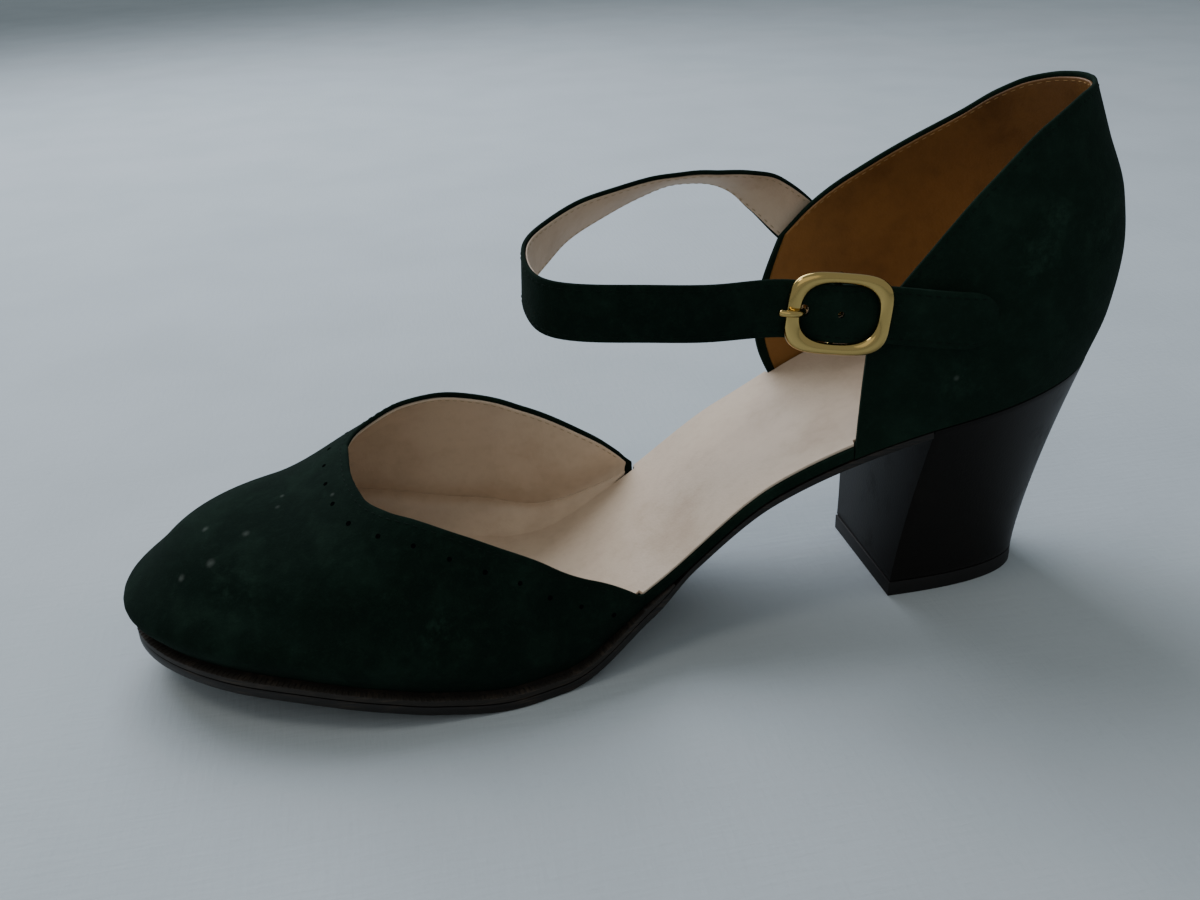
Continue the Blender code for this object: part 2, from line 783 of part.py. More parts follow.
def strap_route():
    """The strap's middle line and its lean, from the medial root round to the free end."""
    points, leans = [], []
    root = QUARTER_TOPLINE[MEDIAL][-1]
    outset = ROOT_GAP + STRAP_THICKNESS / 2
    start = root[1] - LOOP_BACK / LAST_LENGTH
    corner = quarter_point(MEDIAL, start, root[2] * BACK_HEIGHT + LOOP_RISE, outset)
    for back, drop in STRAP_ROOT:
        points.append(quarter_point(MEDIAL, root[1] - back, (root[2] - drop) * BACK_HEIGHT, outset))
        leans.append(0.0)
    for forward, across, rise, lean in STRAP_LOOP:
        x = corner[0] + forward * STRAP_REACH
        y = across * ANKLE_WIDTH / 2
        points.append(np.array([x, y, corner[2] + rise * STRAP_LIFT]))
        leans.append(lean)
    _, along, out, _ = buckle_frame()
    for forward, lift in STRAP_HUMP:
        outward = STRAP_OUT + (STRAP_CREST - STRAP_OUT) * lift
        points.append(np.array(place(BUCKLE_FORWARD + FRAME_HALF * forward, outward, 0)))
        leans.append(math.degrees(math.asin(out.z / math.sqrt(1 - along.z**2))))
    for back, outward in FREE_END_MARKS:
        behind = FRAME_HALF + (FREE_END - FRAME_HALF) * back
        point = place(BUCKLE_FORWARD - behind, STRAP_OUT, 0)
        share = share_at(point.x)
        settled = quarter_point(LATERAL, share, point.z - bottom_at(share), STRAP_OUT * outward)
        points.append(np.array([point.x, settled[1], point.z]))
        leans.append(0.0)
    for i in range(len(STRAP_ROOT)):
        leans[i] = quarter_lean(MEDIAL, points[i], points[i + 1] - points[max(i - 1, 0)])
    for i in range(len(points) - len(FREE_END_MARKS), len(points)):
        leans[i] = quarter_lean(LATERAL, points[i], points[min(i + 1, len(points) - 1)] - points[i - 1])
    return np.array(points), np.array(leans)


def quarter_lean(side, point, direction):
    """How far a strap that passes a point beside the quarter leans to lie flat on it, in degrees."""
    direction = direction / np.linalg.norm(direction)
    across = np.array([0, 0, 1]) - direction * direction[2]
    across *= STRAP_WIDTH / 2 / np.linalg.norm(across)
    stands = []
    for end in (point - across, point + across):
        share = share_at(end[0])
        face = quarter_point(side, share, end[2] - bottom_at(share))
        stands.append(side * (face[1] - end[1]))
    return math.degrees(math.atan2(stands[0] - stands[1], STRAP_WIDTH))


def smooth_route(points, count):
    """Points spaced evenly along a smooth curve through the given ones, and each one's place on it."""
    chords = np.linalg.norm(np.diff(points, axis=0), axis=1)
    marks = np.concatenate([[0], np.cumsum(chords)])
    fine = np.linspace(0, marks[-1], count + 1)
    smooth = np.column_stack([natural_curve(marks, points[:, i], fine) for i in range(3)])
    return smooth, fine, marks


def natural_curve(xs, ys, at):
    """A cubic spline through points, with no bend at its ends."""
    steps = np.diff(xs)
    count = len(xs)
    matrix = np.eye(count)
    target = np.zeros(count)
    for i in range(1, count - 1):
        matrix[i, i - 1 : i + 2] = steps[i - 1], 2 * (steps[i - 1] + steps[i]), steps[i]
        target[i] = 6 * ((ys[i + 1] - ys[i]) / steps[i] - (ys[i] - ys[i - 1]) / steps[i - 1])
    bends = np.linalg.solve(matrix, target)
    i = np.clip(np.searchsorted(xs, at, side="right") - 1, 0, count - 2)
    a = (xs[i + 1] - at) / steps[i]
    b = (at - xs[i]) / steps[i]
    bend = ((a**3 - a) * bends[i] + (b**3 - b) * bends[i + 1]) * steps[i] ** 2 / 6
    return a * ys[i] + b * ys[i + 1] + bend


def strap_frames(steps):
    """Middle points, in-facing and upward unit vectors, and distances from the free end."""
    points, leans = strap_route()
    middle, fine, marks = smooth_route(points, steps)
    tangent = np.gradient(middle, axis=0)
    tangent /= np.linalg.norm(tangent, axis=1)[:, None]
    lean = np.radians(curve_through(marks, leans)(fine))
    up = np.array([0, 0, 1]) - tangent * tangent[:, 2:]
    up /= np.linalg.norm(up, axis=1)[:, None]
    inward = np.cross(up, tangent)
    width = up * np.cos(lean)[:, None] + inward * np.sin(lean)[:, None]
    face = inward * np.cos(lean)[:, None] - up * np.sin(lean)[:, None]
    return middle, face, width, fine[-1] - fine


def make_strap():
    """The ankle strap: a flat ribbon, with a rounded tip and holes for the prong."""
    middle, face, width, left = strap_frames(STRAP_STEPS)
    rings = []
    chamfer = STRAP_THICKNESS * STRAP_CHAMFER
    for centre, thin, wide, rest in zip(middle, face, width, left):
        taper = math.sqrt(max(0.0, 1 - max(0.0, 1 - rest / TIP_LENGTH) ** 2))
        half = STRAP_WIDTH / 2 * (TIP_BLUNTNESS + (1 - TIP_BLUNTNESS) * taper)
        slim = STRAP_THICKNESS / 2
        corners = (
            (slim - chamfer, -half),
            (slim, -half + chamfer),
            (slim, half - chamfer),
            (slim - chamfer, half),
            (-slim + chamfer, half),
            (-slim, half - chamfer),
            (-slim, -half + chamfer),
            (-slim + chamfer, -half),
        )
        rings.append([centre + thin * a + wide * b for a, b in corners])
    strap = loft("ankle_strap", rings)
    suede(strap)
    reach = 2 * STRAP_THICKNESS
    for number in range(HOLE_COUNT):
        forward = BUCKLE_FORWARD + HOLE_LEAD - number * HOLE_SPACING
        ends = [place(forward, outward, 0) for outward in (STRAP_OUT - reach, STRAP_CREST + reach)]
        combine(strap, tube(f"strap_hole_{number}", ends, HOLE_RADIUS), "DIFFERENCE")


def make_tab():
    """The short tab on the lateral quarter, whose eye holds the buckle's middle bar."""
    end = BUCKLE_FORWARD
    outline = [(end - TAB_LENGTH, GAP), (end - TAB_NECK, GAP)]
    for turn in np.linspace(-np.pi / 2, np.pi / 2, EYE_STEPS):
        outline.append((end + EYE_RADIUS * math.cos(turn), BAR_OUT + EYE_RADIUS * math.sin(turn)))
    outline += [(end - TAB_NECK, GAP + TAB_THICKNESS), (end - TAB_LENGTH, GAP + TAB_THICKNESS)]
    tab = loft("buckle_tab", [side_face(outline, side * TAB_WIDTH / 2) for side in (-1, 1)])
    suede(tab)
    ends = [place(end, BAR_OUT, side * TAB_WIDTH) for side in (-1, 1)]
    combine(tab, tube("bar_hole", ends, PIN_RADIUS + GAP), "DIFFERENCE")
    reach = 2 * EYE_RADIUS
    slot = (
        (end - TAB_NECK, BAR_OUT - reach),
        (end + reach, BAR_OUT - reach),
        (end + reach, BAR_OUT + reach),
        (end - TAB_NECK, BAR_OUT + reach),
    )
    slot_half = PRONG_RADIUS + GAP
    combine(tab, loft("prong_slot", [side_face(slot, side * slot_half) for side in (-1, 1)]), "DIFFERENCE")


def side_face(outline, sideways):
    """A ring of points from an outline in the buckle's side view, at a distance across the strap."""
    return [place(forward, outward, sideways) for forward, outward in outline]


def make_buckle():
    """The buckle: a rounded rectangular wire frame with a lower middle bar."""
    corner = BUCKLE_CORNER - BAR_RADIUS
    points = []
    for quarter_turn in range(4):
        forward = BUCKLE_FORWARD + (FRAME_HALF - corner) * (1 if quarter_turn in (0, 3) else -1)
        sideways = (FRAME_SIDE - corner) * (1 if quarter_turn in (0, 1) else -1)
        for step in range(BUCKLE_CORNER_STEPS + 1):
            turn = (quarter_turn + step / BUCKLE_CORNER_STEPS) * math.pi / 2
            ahead = forward + corner * math.cos(turn)
            points.append(place(ahead, FRAME_OUT, sideways + corner * math.sin(turn)))
    frame = tube("buckle", points, BAR_RADIUS, cyclic=True)
    bend = BAR_BEND * PIN_RADIUS
    route = (
        # outward, sideways
        (FRAME_OUT, -FRAME_SIDE),
        (BAR_OUT + bend, -FRAME_SIDE),
        (BAR_OUT, -FRAME_SIDE + bend),
        (BAR_OUT, FRAME_SIDE - bend),
        (BAR_OUT + bend, FRAME_SIDE),
        (FRAME_OUT, FRAME_SIDE),
    )
    knots = [place(BUCKLE_FORWARD, outward, sideways) for outward, sideways in route]
    combine(frame, tube("middle_bar", knots, PIN_RADIUS), "UNION")
    gilt(frame)


def make_prong():
    """The prong: it turns on the middle bar, comes up through the strap and lies on the frame."""
    ring = PIN_RADIUS + GAP + PRONG_RADIUS
    over = FRAME_OUT + BAR_RADIUS + GAP + PRONG_RADIUS
    route = []
    for degrees in np.linspace(*PRONG_RING, RING_STEPS):
        turn = math.radians(degrees)
        route.append((ring * math.cos(turn), BAR_OUT + ring * math.sin(turn)))
    for forward, outward in PRONG_RISE:
        route.append((HOLE_LEAD * forward, BAR_OUT + (over - BAR_OUT) * outward))
    route += [(FRAME_HALF, over), (FRAME_HALF + PRONG_OVERHANG, over - PRONG_DROOP)]
    points = [place(BUCKLE_FORWARD + forward, outward, 0) for forward, outward in route]
    gilt(tube("buckle_prong", points, PRONG_RADIUS))


def main():
    make_insole()
    make_vamp()
    make_quarter()
    make_outsole()
    make_welt()
    make_heel()
    make_strap()
    make_tab()
    make_buckle()
    make_prong()
    for obj in PARTS.objects:
        obj.data.shade_smooth()
        obj.data.set_sharp_from_angle(angle=math.radians(SHARP_ANGLE))


for leftover in list(bpy.data.objects):
    bpy.data.objects.remove(leftover)
PARTS = bpy.data.collections.new("ankle_strap_heel")
CUTTERS = bpy.data.collections.new("cutters")
bpy.context.scene.collection.children.link(PARTS)
bpy.context.scene.collection.children.link(CUTTERS)
main()
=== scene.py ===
"""Ankle strap heel in bottle green suede: the looks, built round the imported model.

The shoe stands on the floor with its toe towards +X, its outer side towards +Y and +Z up. The
origin is at the centre of the heel's base. Sizes are in metres. The last's tables are the same
as the solids', so each finished piece lies where its solid lies.
"""

import math

import bmesh
import bpy
import numpy as np
from bpy.props import FloatProperty, FloatVectorProperty, IntProperty, PointerProperty
from mathutils import Matrix, Vector


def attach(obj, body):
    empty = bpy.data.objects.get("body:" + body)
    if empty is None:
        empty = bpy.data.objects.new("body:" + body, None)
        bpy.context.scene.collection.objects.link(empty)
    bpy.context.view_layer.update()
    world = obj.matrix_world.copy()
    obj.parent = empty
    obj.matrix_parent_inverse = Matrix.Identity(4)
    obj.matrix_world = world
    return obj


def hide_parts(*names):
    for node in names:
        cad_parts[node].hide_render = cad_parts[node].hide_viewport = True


bl_info = {
    "name": "Ankle Strap Heel",
    "version": (1, 0, 0),
    "blender": (4, 5, 0),
    "location": "3D View > Sidebar > Shoe",
    "description": "Dresses a suede ankle strap heel round its packed solids",
    "category": "Object",
}

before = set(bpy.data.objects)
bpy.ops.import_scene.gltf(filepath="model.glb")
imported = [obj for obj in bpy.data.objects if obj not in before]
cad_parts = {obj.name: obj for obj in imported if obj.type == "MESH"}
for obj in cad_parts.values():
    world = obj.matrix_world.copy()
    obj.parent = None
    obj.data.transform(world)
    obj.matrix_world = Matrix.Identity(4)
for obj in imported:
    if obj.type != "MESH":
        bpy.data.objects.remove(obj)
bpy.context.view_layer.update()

MM = 0.001
LATERAL, MEDIAL = 1, -1

# The last, which the upper, insole and sole all follow
LAST_LENGTH = 236 * MM
LAST_BACK = 34 * MM
BALL_WIDTH = 75 * MM
SEAT_HEIGHT = 58.5 * MM
CROWN_HEIGHT = 50 * MM
HEEL_ROUND = 0.20
TOE_ROUND = 0.72
NOSE_ROUND = 0.86
SECTION_POWER = 0.36

# Sole, welt and insole
OUTSOLE_THICKNESS = 2.4 * MM
WAIST_THICKNESS = 1.9 * MM
WELT_THICKNESS = 1.4 * MM
WELT_REACH = 2.8 * MM
WELT_TUCK = 4.0 * MM
INSOLE_THICKNESS = 3.8 * MM
GAP = 0.3 * MM
WELT_FEATHER = 0.4 * MM
WELT_START, WELT_FADE = 0.455, 0.045
REACH_FADE = 0.12
TOE_TRIM_START, TOE_TRIM = 0.90, 0.35

# Upper
UPPER_WALL = 1.8 * MM
VAMP_END_HEIGHT = 4.2 * MM
VAMP_BULGE = 4.2 * MM
BULGE_HEIGHT = 16.5 * MM
BULGE_LOW = 0.75
BACK_HEIGHT = 65 * MM
COUNTER_BULGE = 4.8 * MM
TOP_LEAN = 6.5 * MM
SIDE_LEAN = 2.5 * MM
BACK_REACH = 0.30
COUNTER_SIDE_BULGE = 0.15
COUNTER_SIDE_LEAN = 0.5
SWELL_TURN = 1.2
BOW_POWER = 8

# Heel
HEEL_BASE_WIDTH = 36.5 * MM
HEEL_BASE_LENGTH = 40.5 * MM
TOP_PIECE_THICKNESS = 4.0 * MM
BREAST_LEAN = 4.0 * MM
HEEL_SQUARENESS = 2.7
HEEL_FLARE = 1.4

# Strap, tab and buckle
STRAP_WIDTH = 12.8 * MM
STRAP_THICKNESS = 1.5 * MM
STRAP_REACH = 73 * MM
ANKLE_WIDTH = 56 * MM
STRAP_LIFT = 12 * MM
STRAP_CLIMB = 0.13
FREE_END = 36 * MM
TIP_LENGTH = 7 * MM
TIP_BLUNTNESS = 0.22
TAB_SHARE = 0.262
TAB_HEIGHT = 32.4 * MM
TAB_THICKNESS = 1.6 * MM
TAB_WIDTH = 11 * MM
TAB_LENGTH = 21 * MM
BUCKLE_LENGTH = 23.2 * MM
BUCKLE_FORWARD = 14.6 * MM
STRAP_CLEARANCE = 0.3 * MM
BAR_RADIUS = 1.15 * MM
PIN_RADIUS = 0.8 * MM
BAR_BEND = 1.5
PRONG_RADIUS = 0.8 * MM
HOLE_RADIUS = 1.35 * MM
HOLE_SPACING = 8.0 * MM
HOLE_LEAD = 7.6 * MM
HOLE_COUNT = 2
PRONG_OVERHANG = 3.2 * MM
PRONG_DROOP = 0.5 * MM
PRONG_RING = (20, 290)

# The last's sections, from the heel's back to the toe. Along is a share of the length, rise a share
# of the seat's height over the tread, lateral and medial are shares of the ball width, crown is a
# share of the crown height, and crest is how far the ridge lies to the medial side, as a share of
# the ball width.
LAST_SECTIONS = (
    # along, rise, lateral, medial, crown, crest
    (0.00, 1.000, 0.385, 0.385, 1.10, 0.00),
    (0.11, 0.935, 0.385, 0.388, 1.10, 0.02),
    (0.23, 0.845, 0.378, 0.380, 1.10, 0.05),
    (0.37, 0.600, 0.335, 0.325, 1.10, 0.10),
    (0.50, 0.215, 0.385, 0.325, 1.08, 0.14),
    (0.60, 0.000, 0.470, 0.420, 1.10, 0.14),
    (0.65, 0.000, 0.510, 0.470, 1.08, 0.13),
    (0.72, 0.045, 0.525, 0.487, 0.97, 0.11),
    (0.77, 0.095, 0.530, 0.495, 0.80, 0.09),
    (0.86, 0.155, 0.520, 0.490, 0.550, 0.05),
    (0.93, 0.172, 0.508, 0.480, 0.508, 0.02),
    (1.00, 0.185, 0.495, 0.470, 0.490, 0.00),
)

# The throat line of the vamp, from its front point back to where it meets the insole's edge. Around
# is a share of the way, along a share of the last's length, and angle, in degrees, says how far down
# the section the line lies: 0 on the ridge, 90 at the insole's edge.
VAMP_TOPLINE = {
    LATERAL: (
        # around, along, angle
        (0.00, 0.780, 0.0),
        (0.20, 0.779, 14.0),
        (0.38, 0.768, 30.0),
        (0.50, 0.745, 40.5),
        (0.60, 0.702, 50.5),
        (0.70, 0.660, 58.0),
        (0.80, 0.608, 67.5),
        (0.90, 0.557, 78.5),
        (1.00, 0.511, 89.0),
    ),
    MEDIAL: (
        # around, along, angle
        (0.00, 0.780, 0.0),
        (0.20, 0.773, 9.0),
        (0.36, 0.755, 19.0),
        (0.50, 0.718, 24.0),
        (0.60, 0.686, 28.0),
        (0.72, 0.640, 39.5),
        (0.82, 0.585, 51.0),
        (0.92, 0.522, 72.0),
        (1.00, 0.470, 89.0),
    ),
}

# The quarter's top edge, from the back seam forward. Around is a share of the way, along a share of
# the last's length, and height a share of the back height.
QUARTER_TOPLINE = {
    LATERAL: (
        # around, along, height
        (0.00, 0.000, 1.000),
        (0.30, 0.045, 1.000),
        (0.50, 0.110, 0.955),
        (0.70, 0.180, 0.825),
        (0.85, 0.235, 0.665),
        (0.95, 0.268, 0.555),
        (1.00, 0.287, 0.470),
    ),
    MEDIAL: (
        # around, along, height
        (0.00, 0.000, 1.000),
        (0.16, 0.014, 1.000),
        (0.30, 0.041, 0.988),
        (0.42, 0.073, 0.948),
        (0.52, 0.107, 0.885),
        (0.66, 0.160, 0.812),
        (0.80, 0.215, 0.745),
        (0.92, 0.267, 0.685),
        (1.00, 0.303, 0.615),
    ),
}
QUARTER_FOOT = {LATERAL: 0.294, MEDIAL: 0.304}
QUARTER_BOW = {LATERAL: 0.001, MEDIAL: 0.024}

# How far the back of the quarter stands out from the last's edge, up its height: bulge is a share of
# the counter's bulge and lean a share of the inward lean at the top.
COUNTER_SECTIONS = (
    # height, bulge, lean
    (0.00, 0.00, 0.00),
    (0.20, 0.72, 0.00),
    (0.42, 1.00, 0.02),
    (0.62, 0.80, 0.15),
    (0.82, 0.30, 0.55),
    (1.00, 0.00, 1.00),
)

# The strap's loop in front of the ankle, from the medial quarter round to the buckle. Forward is a
# share of the strap's reach, across a share of half the ankle's width, rise a share of its lift, and
# lean, in degrees, tips the strap's top edge inwards.
STRAP_LOOP = (
    # forward, across, rise, lean
    (0.070, -1.020, 0.400, 28.0),
    (0.163, -1.020, 0.710, 55.0),
    (0.280, -1.035, 0.860, 68.0),
    (0.375, -1.030, 0.880, 68.0),
    (0.500, -1.000, 0.770, 58.0),
    (0.645, -0.890, 0.560, 44.0),
    (0.770, -0.710, 0.390, 30.0),
    (0.875, -0.430, 0.190, 15.0),
    (0.970, 0.000, 0.000, 4.0),
    (0.976, 0.390, -0.180, 0.0),
    (0.944, 0.645, -0.230, 0.0),
    (0.827, 0.855, -0.250, 0.0),
    (0.683, 0.930, -0.290, 0.0),
    (0.473, 0.982, -0.370, 0.0),
)

# The strap's root, sewn to the outside of the medial quarter: back is a share of the last's length
# behind the quarter's front edge, and drop a share of the back height under its corner. The loop
# starts from a point a little behind and above that corner.
STRAP_ROOT = (
    # back, drop
    (0.065, 0.160),
    (0.030, 0.022),
)
ROOT_GAP = 1.05 * MM
LOOP_BACK = 2.8 * MM
LOOP_RISE = 3.6 * MM

# How the strap rises over the middle bar, from the front of the frame to its back: forward is a
# share of half the frame's length, and lift a share of the way from lying flat to the crest.
STRAP_HUMP = (
    # forward, lift
    (1.00, 0.0),
    (0.45, 0.5),
    (0.00, 1.0),
    (-0.45, 0.5),
    (-1.00, 0.0),
)

# The free end, from the back of the frame to its tip: back is a share of its length, and outward a
# share of the strap's distance from the quarter where it lies on the tab.
FREE_END_MARKS = (
    # back, outward
    (0.55, 1.12),
    (1.00, 0.80),
)

# The prong's way up through the strap's hole: forward is a share of the hole's distance from the bar,
# and outward a share of the way from the bar to the prong's rest on the frame.
PRONG_RISE = (
    # forward, outward
    (0.50, -0.08),
    (0.86, 0.02),
    (0.99, 0.33),
    (1.12, 0.80),
    (1.25, 0.94),
)


def curve_through(xs, ys):
    """A smooth curve through points that never overshoots them, as a function of x."""
    xs = np.asarray(xs, float)
    ys = np.asarray(ys, float)
    steps = np.diff(xs)
    slopes = np.diff(ys) / steps
    tangents = np.concatenate([slopes[:1], np.zeros(len(slopes) - 1), slopes[-1:]])
    product = slopes[:-1] * slopes[1:]
    total = slopes[:-1] + slopes[1:]
    turning = product <= 0
    tangents[1:-1] = np.where(turning, 0.0, 2 * product / np.where(turning, 1.0, total))

    def value(x):
        x = np.clip(np.asarray(x, float), xs[0], xs[-1])
        i = np.clip(np.searchsorted(xs, x, side="right") - 1, 0, len(steps) - 1)
        t = (x - xs[i]) / steps[i]
        blend = t * t * (3 - 2 * t)
        bend = steps[i] * (t * (1 - t) ** 2 * tangents[i] - t * t * (1 - t) * tangents[i + 1])
        return ys[i] * (1 - blend) + ys[i + 1] * blend + bend

    return value


def column(table, index):
    """One column of a table as a smooth function of its first column."""
    return curve_through([row[0] for row in table], [row[index] for row in table])


RISE = column(LAST_SECTIONS, 1)
HALF_WIDTH = {LATERAL: column(LAST_SECTIONS, 2), MEDIAL: column(LAST_SECTIONS, 3)}
CROWN = column(LAST_SECTIONS, 4)
CREST = column(LAST_SECTIONS, 5)
TREAD_HEIGHT = OUTSOLE_THICKNESS + WELT_THICKNESS + 2 * GAP


def length_at(along):
    """X of a share of the last's length."""
    return -LAST_BACK + along * LAST_LENGTH


def share_at(x):
    """Share of the last's length at an X."""
    return (x + LAST_BACK) / LAST_LENGTH


def bottom_at(along):
    """Height of the last's bottom, where upper and insole meet the sole."""
    return TREAD_HEIGHT + RISE(along) * (SEAT_HEIGHT - TREAD_HEIGHT)


def edge_at(along, side):
    """Y of the last's edge."""
    heel = np.clip((HEEL_ROUND - along) / HEEL_ROUND, 0, 1)
    toe = np.clip((along - TOE_ROUND) / (1 - TOE_ROUND), 0, 1)
    rounding = np.sqrt(1 - heel**2) * np.sqrt(1 - toe**2)
    return side * HALF_WIDTH[side](along) * BALL_WIDTH * rounding


def crest_at(along):
    """Y of the last's ridge, which lies to the medial side."""
    return -CREST(along) * BALL_WIDTH


def crown_at(along):
    """Height of the last's ridge over its bottom."""
    nose = np.clip((along - NOSE_ROUND) / (1 - NOSE_ROUND), 0, 1)
    return CROWN(along) * CROWN_HEIGHT * np.sqrt(1 - nose**2.4)


def outward_at(along, side):
    """Unit vector in plan that points out of the last's edge."""
    step = 0.002
    before = np.clip(along - step, 0, 1)
    after = np.clip(along + step, 0, 1)
    dx = length_at(after) - length_at(before)
    dy = edge_at(after, side) - edge_at(before, side)
    at_toe = along > 1 - step / 2
    at_heel = along < step / 2
    nx = np.where(at_toe, 1.0, np.where(at_heel, -1.0, -dy * side))
    ny = np.where(at_toe | at_heel, 0.0, dx * side)
    size = np.hypot(nx, ny)
    return nx / size, ny / size


def edge_plan(along, side, outset):
    """X and Y beside the last's edge, an outset away from it in plan."""
    nx, ny = outward_at(along, side)
    return length_at(along) + nx * outset, edge_at(along, side) + ny * outset


def edge_points(along, side, outset, surface):
    """Points beside the last's edge, at the height that a surface has over their own X."""
    x, y = edge_plan(along, side, outset)
    return np.stack(np.broadcast_arrays(x, y, surface(share_at(x))), axis=-1)


def vamp_surface(x, y):
    """Height of the vamp's outer face over a point in plan."""
    along = np.clip(share_at(x), 0, 1)
    crest = crest_at(along)
    side = np.where(y >= crest, LATERAL, MEDIAL)
    edge = np.where(side == LATERAL, edge_at(along, LATERAL), edge_at(along, MEDIAL))
    across = np.clip((y - crest) / np.where(np.abs(edge - crest) < 1e-6, side * 1e-6, edge - crest), 0, 1)
    return bottom_at(along) + crown_at(along) * (1 - across**2) ** SECTION_POWER


def swell_over(above, around):
    """How far the vamp bulges out over its foot, at a height above the last's bottom."""
    share = np.clip(above / BULGE_HEIGHT, 0, 1)
    return VAMP_BULGE * np.sin(np.pi * share**BULGE_LOW) ** 2 * math.cos(around * SWELL_TURN)


def vamp_rib(side, around, steps):
    """Points of the vamp's outer face from the insole's edge up to the throat line."""
    line = VAMP_TOPLINE[side]
    foot_end = line[-1][1]
    foot = 1 - (1 - foot_end) * (1 - math.cos(around * math.pi / 2))
    along = float(column(line, 1)(around))
    angle = math.radians(float(column(line, 2)(around)))
    crest = float(crest_at(along))
    top = np.array([length_at(along), crest + (edge_at(along, side) - crest) * math.sin(angle)])
    start = np.array(edge_plan(foot, side, 0))
    rise = np.linspace(0, 1, steps + 1)
    plan = start + (top - start) * (1 - np.cos(rise * np.pi / 2))[:, None]
    height = vamp_surface(plan[:, 0], plan[:, 1])
    height[0] = bottom_at(foot)
    least = VAMP_END_HEIGHT * rise + bottom_at(foot)
    height = np.maximum(height, least)
    swell = swell_over(height - bottom_at(share_at(plan[:, 0])), around)
    nx, ny = outward_at(np.array(foot), side)
    plan = plan + swell[:, None] * np.array([nx, ny])
    return np.column_stack([plan, height])


COUNTER_OUT = column(COUNTER_SECTIONS, 1)
COUNTER_IN = column(COUNTER_SECTIONS, 2)


def quarter_point(side, along, height, outset=0.0):
    """A point on the quarter's outer face, at a height over the last's bottom."""
    share = height / BACK_HEIGHT
    back = 1 - np.clip(along / BACK_REACH, 0, 1)
    back = back * back * (3 - 2 * back)
    swell = COUNTER_BULGE * COUNTER_OUT(share) * (COUNTER_SIDE_BULGE + (1 - COUNTER_SIDE_BULGE) * back)
    lean = TOP_LEAN * COUNTER_IN(share) * (COUNTER_SIDE_LEAN + (1 - COUNTER_SIDE_LEAN) * back)
    lean = lean + SIDE_LEAN * share * (1 - back)
    x, y = edge_plan(along, side, swell - lean + outset)
    return np.stack(np.broadcast_arrays(x, y, bottom_at(along) + height), axis=-1)


def quarter_rib(side, around, steps):
    """Points of the quarter's outer face from the insole's edge up to the top edge."""
    line = QUARTER_TOPLINE[side]
    foot = QUARTER_FOOT[side] * (1 - math.cos(around * math.pi / 2))
    along = float(column(line, 1)(around))
    top = float(column(line, 2)(around)) * BACK_HEIGHT
    rise = np.linspace(0, 1, steps + 1)
    bow = QUARTER_BOW[side] * around**BOW_POWER * np.sin(np.pi * rise)
    return quarter_point(side, foot + (along - foot) * rise + bow, top * rise)


def upper_ends(side):
    """Shares of the length where the quarter stops and the vamp starts, on one side."""
    return QUARTER_FOOT[side], VAMP_TOPLINE[side][-1][1]


def welt_share(along):
    """How much of the welt there is under the upper: 0 at the waist, 1 from the ball forward."""
    t = np.clip((along - WELT_START) / WELT_FADE, 0, 1)
    return t * t * (3 - 2 * t)


def sole_top(along):
    """Height of the outsole's top face."""
    return bottom_at(along) - GAP - welt_share(along) * (WELT_THICKNESS + GAP)


def sole_bottom(along):
    """Height of the outsole's underside: it is thin at the waist, and full under the welt."""
    thickness = WAIST_THICKNESS + (OUTSOLE_THICKNESS - WAIST_THICKNESS) * welt_share(along)
    return sole_top(along) - thickness


def welt_top(along):
    """Height of the welt's top face, under the upper and the insole."""
    return bottom_at(along) - GAP


def welt_bottom(along):
    """Height of the welt's underside, on the outsole."""
    return np.minimum(sole_top(along) + GAP, welt_top(along) - WELT_FEATHER)


def sole_reach(along):
    """How far the sole stands out beyond the upper."""
    t = np.clip((along - WELT_START) / REACH_FADE, 0, 1)
    toe = np.clip((along - TOE_TRIM_START) / (1 - TOE_TRIM_START), 0, 1)
    return WELT_REACH * t * t * (3 - 2 * t) * (1 - TOE_TRIM * toe)


def breast_x(height):
    """X of the heel's front face at a height."""
    return HEEL_BASE_LENGTH / 2 - BREAST_LEAN * height / SEAT_HEIGHT


def breast_share():
    """Share of the last's length where the heel's front face meets the seat."""
    share = share_at(HEEL_BASE_LENGTH / 2)
    for _ in range(5):
        share = float(share_at(breast_x(bottom_at(share))))
    return share


def heel_base(height, steps):
    """The heel's outline at its foot: straight in front, rounded behind."""
    turn = np.linspace(np.pi / 2, -np.pi / 2, 2 * steps + 1)
    power = 2 / HEEL_SQUARENESS
    x = HEEL_BASE_LENGTH / 2 - HEEL_BASE_LENGTH * np.abs(np.cos(turn)) ** power
    y = HEEL_BASE_WIDTH / 2 * np.sign(np.sin(turn)) * np.abs(np.sin(turn)) ** power
    return np.stack(np.broadcast_arrays(x, y, height), axis=-1)


def heel_top(steps):
    """The heel's outline at the seat, along the last's edge, a gap under its bottom."""
    turn = np.linspace(0, np.pi / 2, steps + 1)
    along = breast_share() * (1 - np.cos(turn))
    lateral = edge_points(along, LATERAL, 0, welt_top)
    medial = edge_points(along, MEDIAL, 0, welt_top)
    return np.concatenate([lateral[::-1], medial[1:]])


BAR_OUT = GAP + TAB_THICKNESS / 2
EYE_RADIUS = PIN_RADIUS + 2 * PRONG_RADIUS + GAP
STRAP_OUT = GAP + TAB_THICKNESS + GAP + STRAP_THICKNESS / 2
STRAP_CREST = BAR_OUT + EYE_RADIUS + GAP + STRAP_THICKNESS / 2
FRAME_OUT = STRAP_OUT + STRAP_THICKNESS / 2 + GAP + BAR_RADIUS
FRAME_HALF = BUCKLE_LENGTH / 2 - BAR_RADIUS
FRAME_SIDE = STRAP_WIDTH / 2 + STRAP_CLEARANCE + BAR_RADIUS


